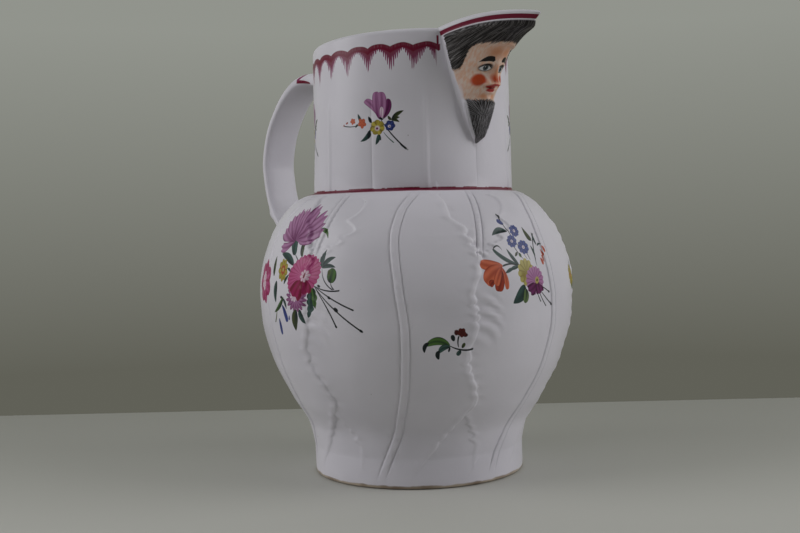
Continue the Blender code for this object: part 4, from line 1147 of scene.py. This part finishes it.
def painted_rim(jug):
    """The comb border: a scalloped crimson band whose arches bulge up, with tufts of thin lines that hang
    longest where two arches meet. A line shows where its sine stands over its share of the tuft's depth."""
    nodes, ground = glazed("comb_border")
    x, y, z = nodes.parts(nodes.place())
    angle = abs(y.math("ARCTAN2", x))
    across = angle * COMB_RADIUS
    arch = (angle * (180 / math.pi) - FIRST_ARCH) * (1 / ARCH_WIDTH)
    uneven = nodes.noise(nodes.point(across * 0.05, y * 20.0), 2.0, 1.0)
    arch = arch + (uneven - 0.5) * 0.35
    beside = abs((arch - 0.5).math("FRACT") - 0.5) * 2
    rim = 1000 * (jug.body.rim_height + jug.body.rim_sweep * angle.math("COSINE"))
    below = rim - z * 1000
    upper = 6.6 + 1.6 * (1 - beside) ** 2.0
    band = 2.5 + 0.6 * (1 - beside)
    thin = nodes.noise(nodes.point(across, 0.0), 1.15)
    reach = (1.6 + 8.6 * (1 - beside) ** 1.5) * (0.35 + 1.3 * thin)
    depth = (below - upper - band * 0.7) / reach
    line = (across * (2 * math.pi / TUFT_LINE_SPACING) + (thin - 0.5) * 5.0).sine() * 0.5 + 0.5
    hanging = (line + 0.55 - depth * 1.05).ramp(0.0, 0.2) * depth.ramp(1.05, 0.92) * depth.ramp(-0.2, 0.0)
    hanging = hanging * angle.ramp(math.radians(22.6), math.radians(24.0))
    colour = nodes.mix(ground, nodes.mix("crimson", "tuft_purple", depth.ramp(0.0, 0.8)), hanging * 0.95)
    solid = (below - upper).ramp(-0.15, 0.15) * (upper + band - below).ramp(-0.3, 0.3)
    in_front = angle.ramp(math.radians(20.6), math.radians(21.2))
    colour = nodes.mix(colour, "crimson", solid * (0.97 + 0.3 * (thin - 0.5)))
    link = abs(angle - math.radians(22.3)).ramp(math.radians(0.75), math.radians(0.45))
    link = link * below.ramp(3.6, 4.0) * below.ramp(8.6, 8.2)
    colour = nodes.mix(ground, nodes.mix(colour, "crimson", link), in_front)
    nodes.set("Base Color", colour)
    return nodes.owner


def painted_neck_line(jug):
    """The crimson line round the crease under the neck. Its place and its colour waver with a soft noise."""
    nodes, ground = glazed("neck_line")
    _, _, z = nodes.parts(nodes.place())
    wave = nodes.noise(nodes.place(), 40.0, 1.0)
    away = abs(z * 1000 - (jug.body.shoulder_height * 1000 + 0.25) - (wave - 0.5) * 0.5)
    nodes.set("Base Color", nodes.mix(ground, "crimson", away.ramp(1.05, 0.8) * (0.85 + 0.3 * wave)))
    return nodes.owner


def painted_mask(jug):
    """The mask's painting, in thirds of the face out from the middle and up from the chin: a flesh wash
    with blushes, brushed hair and beard, brows, eyes and lips, and the crimson line along the lip."""
    nodes, ground = glazed("painted_mask")
    mask, spout, body = jug.mask, jug.spout, jug.body
    x, y, z = nodes.parts(nodes.place())
    side = abs(y) * (1 / jug.third)
    up = (z - mask.chin) * (1 / jug.third)
    radius = (x * x + y * y) ** 0.5
    climb = ((radius - body.mouth_radius) * (1 / (spout.reach - body.mouth_radius))).most(0.0).least(1.0)
    lip = jug.lip_height * 1000 + (climb * (math.pi * LIP_ARCH)).sine() * (spout.lip_rise * 1000)
    below_lip = lip - z * 1000
    share = ((z - spout.tip_height) * (1 / (jug.lip_height - spout.tip_height))).most(0.0)
    half_angle = share ** SPOUT_SPREAD * math.radians(spout.half_angle)
    half = half_angle.sine() * (body.mouth_radius * mask.face_share / jug.third)
    low_part = (side / half.most(0.03)).ramp(1.02, 0.93)
    high_part = (radius * 1000 - body.mouth_radius * 1000).ramp(2.9, 3.6)
    inside = low_part + (high_part - low_part) * share.ramp(0.35, 0.6)
    inside = inside * below_lip.ramp(4.4, 5.3)
    brushed = nodes.noise(nodes.point(side * 5.0, up * 1.2, side + up), 2.4, 3.0)

    chart = nodes.point(side, up)
    face = Brush(nodes, chart, nodes.mix("pale_flesh", "flesh", brushed.ramp(0.35, 0.65)))
    face.dot((0.35, 2.55), (0.75, 0.5), "wash", 0.0, 0.95)
    face.dot((0.0, 1.35), (0.42, 0.75), "wash", 0.0, 0.95)
    face.dot((0.0, 1.14), (0.44, 0.40), "blush", 0.0, 0.75)
    face.dot((0.0, 1.5), (0.17, 0.5), "wash", 0.0, 0.9)
    face.dot((0.50, 1.42), (0.20, 0.10), "pale_flesh", 0.4, 0.9)
    face.dot((0.35, 0.22), (0.4, 0.22), "wash", 0.0, 0.95)
    face.dot((0.80, 1.10), (0.40, 0.42), "blush", 0.0, 0.4)
    face.dot((0.0, 0.73), (0.44, 0.12), "lip_red", 0.0, 0.35)
    face.dot((0.0, 0.54), (0.36, 0.13), "lip_red", 0.0, 0.35)
    face.dot((0.0, 0.645), (0.36, 0.022), "hair_black", 0.0, 0.6)
    face.dot((0.13, 0.99), (0.07, 0.04), "brick", 0.3, 0.8)
    face.dot((0.565, 1.765), (0.40, 0.235), "hair_black", 0.0, 0.3)
    face.dot((0.565, 1.745), (0.345, 0.165), "eye_white", 0.0, 0.3)
    face.dot((0.56, 1.755), (0.165, 0.165), "iris", 0.0, 0.25)
    face.dot((0.56, 1.755), (0.065, 0.07), "hair_black", 0.0, 0.3)
    # The tiny eye-white dot up and out from each pupil is a painted highlight, a glint on the eye.
    face.dot((0.60, 1.80), (0.03, 0.03), "eye_white", 0.0, 0.5)
    brow_line = abs(up - 2.22 + (side - 0.56) * (side - 0.56) * 0.9)
    brow = (brow_line - 0.15 * side.ramp(0.2, 0.35) * side.ramp(1.1, 0.65)).ramp(0.0, -0.03)
    face.lay("hair_black", brow * side.ramp(0.18, 0.26))
    lid = abs(up - 1.90 + (side - 0.565) * (side - 0.565) * 1.5)
    face.lay("hair_black", lid.ramp(0.035, 0.015) * abs(side - 0.565).ramp(0.34, 0.28))

    hair_flow = side * 1.2 + (up - 3.0) * 0.75 * side.ramp(0.1, 1.2)
    strands = nodes.noise(nodes.point(hair_flow * 9.0, up * 0.8, side * 0.8), 2.0)
    hairline = 3.0 - (3.0 - EYE_LEVEL) * (side / half.most(0.03)).ramp(0.74, 0.99)
    over = (up - hairline + (strands - 0.5) * 0.35).ramp(-0.05, 0.05)
    face.lay(nodes.mix("hair_black", "hair_grey", strands.ramp(0.42, 0.72)), over)
    beard_flow = side / (up + 1.05).most(0.2)
    fibres = nodes.noise(nodes.point(beard_flow * 9.0, up * 0.7, 3.0), 2.2)
    under = (0.05 - up + (fibres - 0.5) * 0.45).ramp(-0.03, 0.03)
    face.lay(nodes.mix("hair_black", "beard_grey", fibres.ramp(0.40, 0.70)), under)

    colour = nodes.mix(ground, face.colour, inside)
    line = abs(below_lip - 3.2).ramp(1.15, 0.9)
    nodes.set("Base Color", nodes.mix(colour, "crimson", line))
    return nodes.owner


def painted_handle(azimuth):
    """Two small crimson strokes that part from one place high on each edge of the handle, near the neck.
    The chart is the handle's own plane: out from the axis and up."""
    nodes, ground = glazed("handle_mark")
    turned = nodes.add("ShaderNodeMapping", {"vector_type": "POINT"},
                       {"Vector": nodes.place(), "Rotation": (0, 0, -math.radians(azimuth)),
                        "Scale": (1000, 1000, 1000)})
    out, aside, up = nodes.parts(turned)
    brush = Brush(nodes, nodes.point(out, up), ground)
    brush.stroke((74.0, 209.0), (87.5, 211.3), 0.8, "crimson", 0.4)
    brush.stroke((78.0, 214.6), (87.0, 211.8), 0.6, "tuft_purple", 0.3)
    nodes.set("Base Color", nodes.mix(ground, brush.colour, abs(aside).ramp(5.0, 7.0)))
    return nodes.owner


def plain_glaze():
    """The glaze with no painting. It stops a little over the base, where the biscuit shows."""
    nodes, ground = glazed("white_glaze")
    place = nodes.place()
    _, _, z = nodes.parts(place)
    edge = z * 1000 - 1.5 - (nodes.noise(place, 120.0) - 0.5) * 1.8
    fired = nodes.mix("biscuit", "fired_brown", nodes.noise(place, 60.0).ramp(0.45, 0.7))
    nodes.set("Base Color", nodes.mix(fired, ground, edge.ramp(-0.3, 0.4)))
    return nodes.owner


# Drawings: how to paint it, its left, right, lowest and highest place on its chart in mm, and how many
# patches it is cut into across and up
DRAWINGS = {
    "yellow_flower": (yellow_flower, (-6.2, 6.2, -8.5, 8.5), (1, 1)),
    "bouquet": (bouquet, (-47.5, 33.0, -31.0, 34.5), (4, 3)),
    "tulip_spray": (tulip_spray, (-27.0, 21.0, -23.0, 25.0), (3, 3)),
    "sprig": (sprig, (-13.0, 14.0, -8.5, 9.0), (2, 1)),
    "neck_spray": (neck_spray, (-20.5, 17.5, -16.0, 16.0), (3, 2)),
}
# Where the drawings stand: azimuth and height of the chart's middle, its radius, and whether it is mirrored
SPRAYS = (
    ("yellow_flower", 38.2, 0.1000, 0.0800, False),
    ("bouquet", -78.0, 0.1050, 0.0800, False),
    ("bouquet", 66.5, 0.1050, 0.0800, True),
    ("tulip_spray", 3.0, 0.1080, 0.0780, False),
    ("sprig", -27.0, 0.0720, 0.0800, False),
    ("sprig", -140.0, 0.0980, 0.0800, True),
    ("sprig", 140.0, 0.0980, 0.0800, False),
    ("neck_spray", -57.0, 0.1770, 0.0516, False),
    ("neck_spray", -122.5, 0.1770, 0.0516, False),
    ("neck_spray", 49.0, 0.1770, 0.0516, True),
    ("neck_spray", 122.5, 0.1770, 0.0516, True),
)
# How far past its patch a mark is still painted, in mm, since a face belongs to a patch by its middle
PATCH_MARGIN = 2.0
# Where each part of the painting lies: over this height on the rim and on the handle, and within this height
# of the neck's crease
RIM_FOOT = 0.1965
HANDLE_MARK_FOOT = 0.2
NECK_LINE_REACH = 0.0024
# Which faces are the handle's: within this many degrees of its plane, and this far off the wall
HANDLE_SECTOR = 22
HANDLE_STAND_OFF = 0.0022


def painted_patches(name):
    """A material for each patch of a drawing. Each leaves out the marks that lie outside its patch."""
    drawing, (left, right, low, high), (columns, rows) = DRAWINGS[name]
    wide, tall = (right - left) / columns, (high - low) / rows
    for column in range(columns):
        for row in range(rows):
            nodes, ground = glazed(f"{name}_{column}_{row}")
            window = (left + column * wide - PATCH_MARGIN, left + (column + 1) * wide + PATCH_MARGIN,
                      low + row * tall - PATCH_MARGIN, low + (row + 1) * tall + PATCH_MARGIN)
            chart = nodes.add("ShaderNodeAttribute", {"attribute_name": "chart"}, output="Vector")
            brush = Brush(nodes, chart, ground, window)
            drawing(brush)
            nodes.set("Base Color", brush.colour)
            yield column, row, nodes.owner


def on_chart(points, azimuth, height, radius, mirrored):
    """Points of the jug's outside on a flat chart: x runs round the jug and y up it, in mm from a middle
    point. The length round the jug is the azimuth from the middle times a fixed radius."""
    turned = np.degrees(np.arctan2(points[:, 1], points[:, 0])) - azimuth
    around = np.radians(folded(turned, 360)) * radius * (-1000 if mirrored else 1000)
    return np.stack([around, (points[:, 2] - height) * 1000, np.zeros_like(around)], axis=1)


def read(items, name, width, kind):
    """One attribute of a mesh's vertices, faces or corners as rows of numbers."""
    values = np.empty(len(items) * width, kind)
    items.foreach_get(name, values)
    return values.reshape(-1, width)


def regions(jug, handle, centre, normal):
    """Which faces lie on the outside of the vessel, inside the spout's frame and on the handle. A face is
    outside where its normal points away from the axis, and on the handle where it stands off the wall."""
    azimuth = np.degrees(np.arctan2(centre[:, 1], centre[:, 0]))
    radius, height = np.hypot(centre[:, 0], centre[:, 1]), centre[:, 2]
    shoulder = jug.body.shoulder_height
    neck = jug.neck_radius((height - shoulder) / (jug.lip_height - shoulder))
    off_wall = radius - np.where(height > shoulder, neck, jug.body_radius(height))
    outside = (centre[:, :2] * normal[:, :2]).sum(axis=1) > -0.2 * radius
    beside_handle = abs(folded(azimuth - handle.azimuth, 360)) < HANDLE_SECTOR
    on_handle = beside_handle & (off_wall > HANDLE_STAND_OFF)
    outside &= ~on_handle & (off_wall > -0.5 * jug.body.wall)
    in_beak = abs(azimuth) < jug.beak_half_angle(jug.beak_share(height)) * 1.01
    return outside, in_beak, on_handle


def paint_jug(scene, vessel):
    """Gives each face the material of the patch that its middle lies in. The corners of the faces in a spray
    get their places on the spray's chart as the attribute that its materials read."""
    jug = JugShape(scene)
    mesh = vessel.data
    centre = read(mesh.polygons, "center", 3, np.float32)
    normal = read(mesh.polygons, "normal", 3, np.float32)
    outside, in_beak, on_handle = regions(jug, scene.jug_handle, centre, normal)
    height = centre[:, 2]
    count = len(mesh.polygons)
    index = np.zeros(count, np.int32)
    mesh.materials.append(plain_glaze())

    def give(material, faces):
        mesh.materials.append(material)
        index[faces] = len(mesh.materials) - 1

    give(painted_rim(jug), outside & (height > RIM_FOOT) & ~in_beak)
    give(painted_neck_line(jug), outside & (abs(height - jug.body.shoulder_height) < NECK_LINE_REACH))
    give(painted_mask(jug), outside & in_beak & (height > jug.spout.tip_height - 0.001))
    give(painted_handle(scene.jug_handle.azimuth), on_handle & (height > HANDLE_MARK_FOOT))

    corners = read(mesh.loops, "vertex_index", 1, np.int32)[:, 0]
    points = read(mesh.vertices, "co", 3, np.float32)[corners]
    face = np.repeat(np.arange(count), read(mesh.polygons, "loop_total", 1, np.int32)[:, 0])
    chart = np.zeros((len(corners), 3), np.float32)
    spray = np.full(count, -1)
    middle = np.zeros((count, 2))
    for which, (name, *place) in enumerate(SPRAYS):
        left, right, low, high = DRAWINGS[name][1]
        at = on_chart(centre, *place)
        inside = outside & (index == 0) & (spray < 0)
        inside &= (at[:, 0] > left) & (at[:, 0] < right) & (at[:, 1] > low) & (at[:, 1] < high)
        spray[inside] = which
        middle[inside] = at[inside, :2]
        chart[inside[face]] = on_chart(points[inside[face]], *place)
    for name, (_, (left, right, low, high), (columns, rows)) in DRAWINGS.items():
        wanted = np.isin(spray, [which for which, entry in enumerate(SPRAYS) if entry[0] == name])
        at_column = ((middle[:, 0] - left) / (right - left) * columns).astype(int)
        at_row = ((middle[:, 1] - low) / (high - low) * rows).astype(int)
        for column, row, material in painted_patches(name):
            give(material, wanted & (at_column == column) & (at_row == row))
    mesh.attributes.new("chart", "FLOAT_VECTOR", "CORNER").data.foreach_set("vector", chart.ravel())
    mesh.polygons.foreach_set("material_index", index)
    mesh.update()


# Lamps: azimuth, height, distance from the axis, size, and the height on the axis that they point at
WINDOW_LAMPS = {
    "left_window": (-116, 0.68, 1.1, 0.8, 0.13),
    "right_window": (41, 0.68, 1.1, 0.8, 0.13),
}
CEILING_LAMP = (-37, 1.3, 0.7, 0.9, 0.0)
LAMP_COLOUR = (0.98, 0.97, 1.0)
# How far the table reaches forward and to each side, and how far it lies under the jug's base
TABLE_REACH = 1.6
TABLE_GAP = 0.0002


class StageSettings(bpy.types.PropertyGroup):
    """The photograph's camera, table and light."""

    camera_distance: length("Camera distance", 0.56299, "Distance from the jug's axis to the camera")
    camera_azimuth: number("Camera azimuth", -37.5, "Where the camera stands, in degrees")
    camera_height: length("Camera height", 0.12630, "Height of the camera")
    camera_tilt: number("Camera tilt", 2.144, "How far the camera looks down, in degrees")
    camera_roll: number("Camera roll", -1.3162, "How far the camera leans, in degrees")
    lens: number("Lens", 48.08, "Focal length in mm")
    shift: number("Shift", -0.01872, "The camera's sideways shift")
    table_depth: length("Table depth", 0.185, "From the jug's axis back to the table's far edge")
    # The table's two colours are painted shade and painted light: darker behind the jug and lighter before
    # it, for the lamps' light falling off towards the back.
    shaded_far_table: enamel("Far table", (0.31, 0.31, 0.28), "Colour of the table behind the jug")
    lit_near_table: enamel("Near table", (0.51, 0.51, 0.475), "Colour of the table before the jug")
    low_wall: enamel("Low wall", (0.118, 0.118, 0.096), "Colour of the room behind, below the jug")
    high_wall: enamel("High wall", (0.285, 0.295, 0.265), "Colour of the room behind, over the jug")
    near_wall: enamel("Near wall", (0.095, 0.095, 0.098), "Colour of the darker room before the jug")
    side_power: watts("Side lamps", 6.0, "Power of each window")
    front_power: watts("Front lamp", 0.2, "Power from above")


def added_light(name, place, power):
    """A soft square lamp at an azimuth round the jug that points at the axis."""
    azimuth, height, distance, size, target_height = place
    lamp = bpy.data.lights.new(name, "AREA")
    lamp.size = size
    lamp.energy = power
    lamp.color = LAMP_COLOUR
    obj = placed(name, lamp)
    turn = math.radians(azimuth)
    obj.location = (distance * math.cos(turn), distance * math.sin(turn), height)
    aim = Vector((0, 0, target_height)) - obj.location
    obj.rotation_euler = aim.to_track_quat("-Z", "Y").to_euler()


def made_stage(scene):
    """Sets the table, the room's colour, the lamps and the photograph's camera. The table's colour changes
    from 0.26 m behind the axis to 0.14 m before it. The room's changes with the rise of the line of sight,
    from -0.122 up to 0.178, and grows darker before the jug."""
    stage = scene.jug_stage
    turn = math.radians(stage.camera_azimuth)
    toward = Vector((math.cos(turn), math.sin(turn), 0))
    aside = Vector((-toward.y, toward.x, 0))
    back = -stage.table_depth
    corners = [toward * ahead + aside * side for ahead, side in
               ((back, -TABLE_REACH), (back, TABLE_REACH), (TABLE_REACH, TABLE_REACH),
                (TABLE_REACH, -TABLE_REACH))]
    mesh = bpy.data.meshes.new("table")
    top = [(corner.x, corner.y, -TABLE_GAP) for corner in corners]
    mesh.from_pydata(top, [], [(0, 3, 2, 1)])
    table = placed("table", mesh)
    nodes = Nodes(bpy.data.materials.new("table_paint"))
    x, y, _ = nodes.parts(nodes.place())
    # Painted light and shade: the table's colour grows lighter from behind the jug to before it.
    lit_nearness = (x * toward.x + y * toward.y).ramp(-0.26, 0.14)
    nodes.set("Base Color", nodes.mix(stage.shaded_far_table, stage.lit_near_table, lit_nearness))
    nodes.set("Roughness", 0.6)
    mesh.materials.append(nodes.owner)
    table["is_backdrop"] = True

    world = bpy.data.worlds.new("room")
    nodes = Nodes(world, "Background")
    x, y, rise = nodes.parts(nodes.add("ShaderNodeTexCoord", output="Generated"))
    rise = ((rise + 0.122) * (1 / 0.3)).most(0.0).least(1.0)
    before = (x * toward.x + y * toward.y).ramp(-0.1, 0.9)
    room = nodes.mix(stage.low_wall, stage.high_wall, rise)
    nodes.set("Color", nodes.mix(room, stage.near_wall, before))
    scene.world = world
    for name, place in WINDOW_LAMPS.items():
        added_light(name, place, stage.side_power)
    added_light("ceiling", CEILING_LAMP, stage.front_power)

    camera = placed("camera", bpy.data.cameras.new("camera"))
    camera.data.lens = stage.lens
    camera.data.sensor_width = 36
    camera.data.shift_x = stage.shift
    camera.data.clip_start = 0.01
    camera.location = toward * stage.camera_distance + Vector((0, 0, stage.camera_height))
    tilt = math.radians(stage.camera_tilt)
    look = -toward * math.cos(tilt) + Vector((0, 0, -math.sin(tilt)))
    roll = Matrix.Rotation(math.radians(stage.camera_roll), 3, "Z")
    camera.rotation_euler = (look.to_track_quat("-Z", "Y").to_matrix() @ roll).to_euler()
    scene.camera = camera
    scene.view_settings.view_transform = "Standard"


class JUG_OT_build_vessel(bpy.types.Operator):
    """Build the moulded and painted vessel with its handle"""

    bl_idname = "mask_jug.build_vessel"
    bl_label = "Build the vessel"

    def execute(self, context):
        vessel = made_jug(context.scene)
        paint_jug(context.scene, vessel)
        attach(vessel, "root")
        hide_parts("mask_jug")
        return {"FINISHED"}


class JUG_OT_set_stage(bpy.types.Operator):
    """Set the photograph's table, room, lamps and camera"""

    bl_idname = "mask_jug.set_stage"
    bl_label = "Set the stage"

    def execute(self, context):
        made_stage(context.scene)
        return {"FINISHED"}


GROUPS = {
    "jug_body": BodySizes,
    "jug_spout": SpoutSizes,
    "jug_leaf": LeafSizes,
    "jug_mask": MaskSizes,
    "jug_handle": HandleSizes,
    "jug_mesh": MeshFineness,
    "jug_enamels": EnamelColours,
    "jug_stage": StageSettings,
}


class JUG_PT_sidebar(bpy.types.Panel):
    """Lists the jug's sizes, colours and operators in the sidebar"""

    bl_idname = "JUG_PT_sidebar"
    bl_label = "Mask jug"
    bl_space_type = "VIEW_3D"
    bl_region_type = "UI"
    bl_category = "Mask jug"

    def draw(self, context):
        for name, group in GROUPS.items():
            box = self.layout.box()
            box.label(text=group.bl_rna.name)
            for size in group.__annotations__:
                box.prop(getattr(context.scene, name), size)
        self.layout.operator(JUG_OT_build_vessel.bl_idname)
        self.layout.operator(JUG_OT_set_stage.bl_idname)


CLASSES = (*GROUPS.values(), JUG_OT_build_vessel, JUG_OT_set_stage, JUG_PT_sidebar)


def register():
    for added in CLASSES:
        bpy.utils.register_class(added)
    for name, group in GROUPS.items():
        setattr(bpy.types.Scene, name, PointerProperty(type=group))


def unregister():
    for name in GROUPS:
        delattr(bpy.types.Scene, name)
    for added in reversed(CLASSES):
        bpy.utils.unregister_class(added)


def main():
    register()
    bpy.ops.mask_jug.build_vessel()
    bpy.ops.mask_jug.set_stage()
    boxes = {"frame": FRAME_BOX, "scene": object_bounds()}
    {name: [list(corner) for corner in box] for name, box in boxes.items()}


if __name__ == "__main__":
    main()
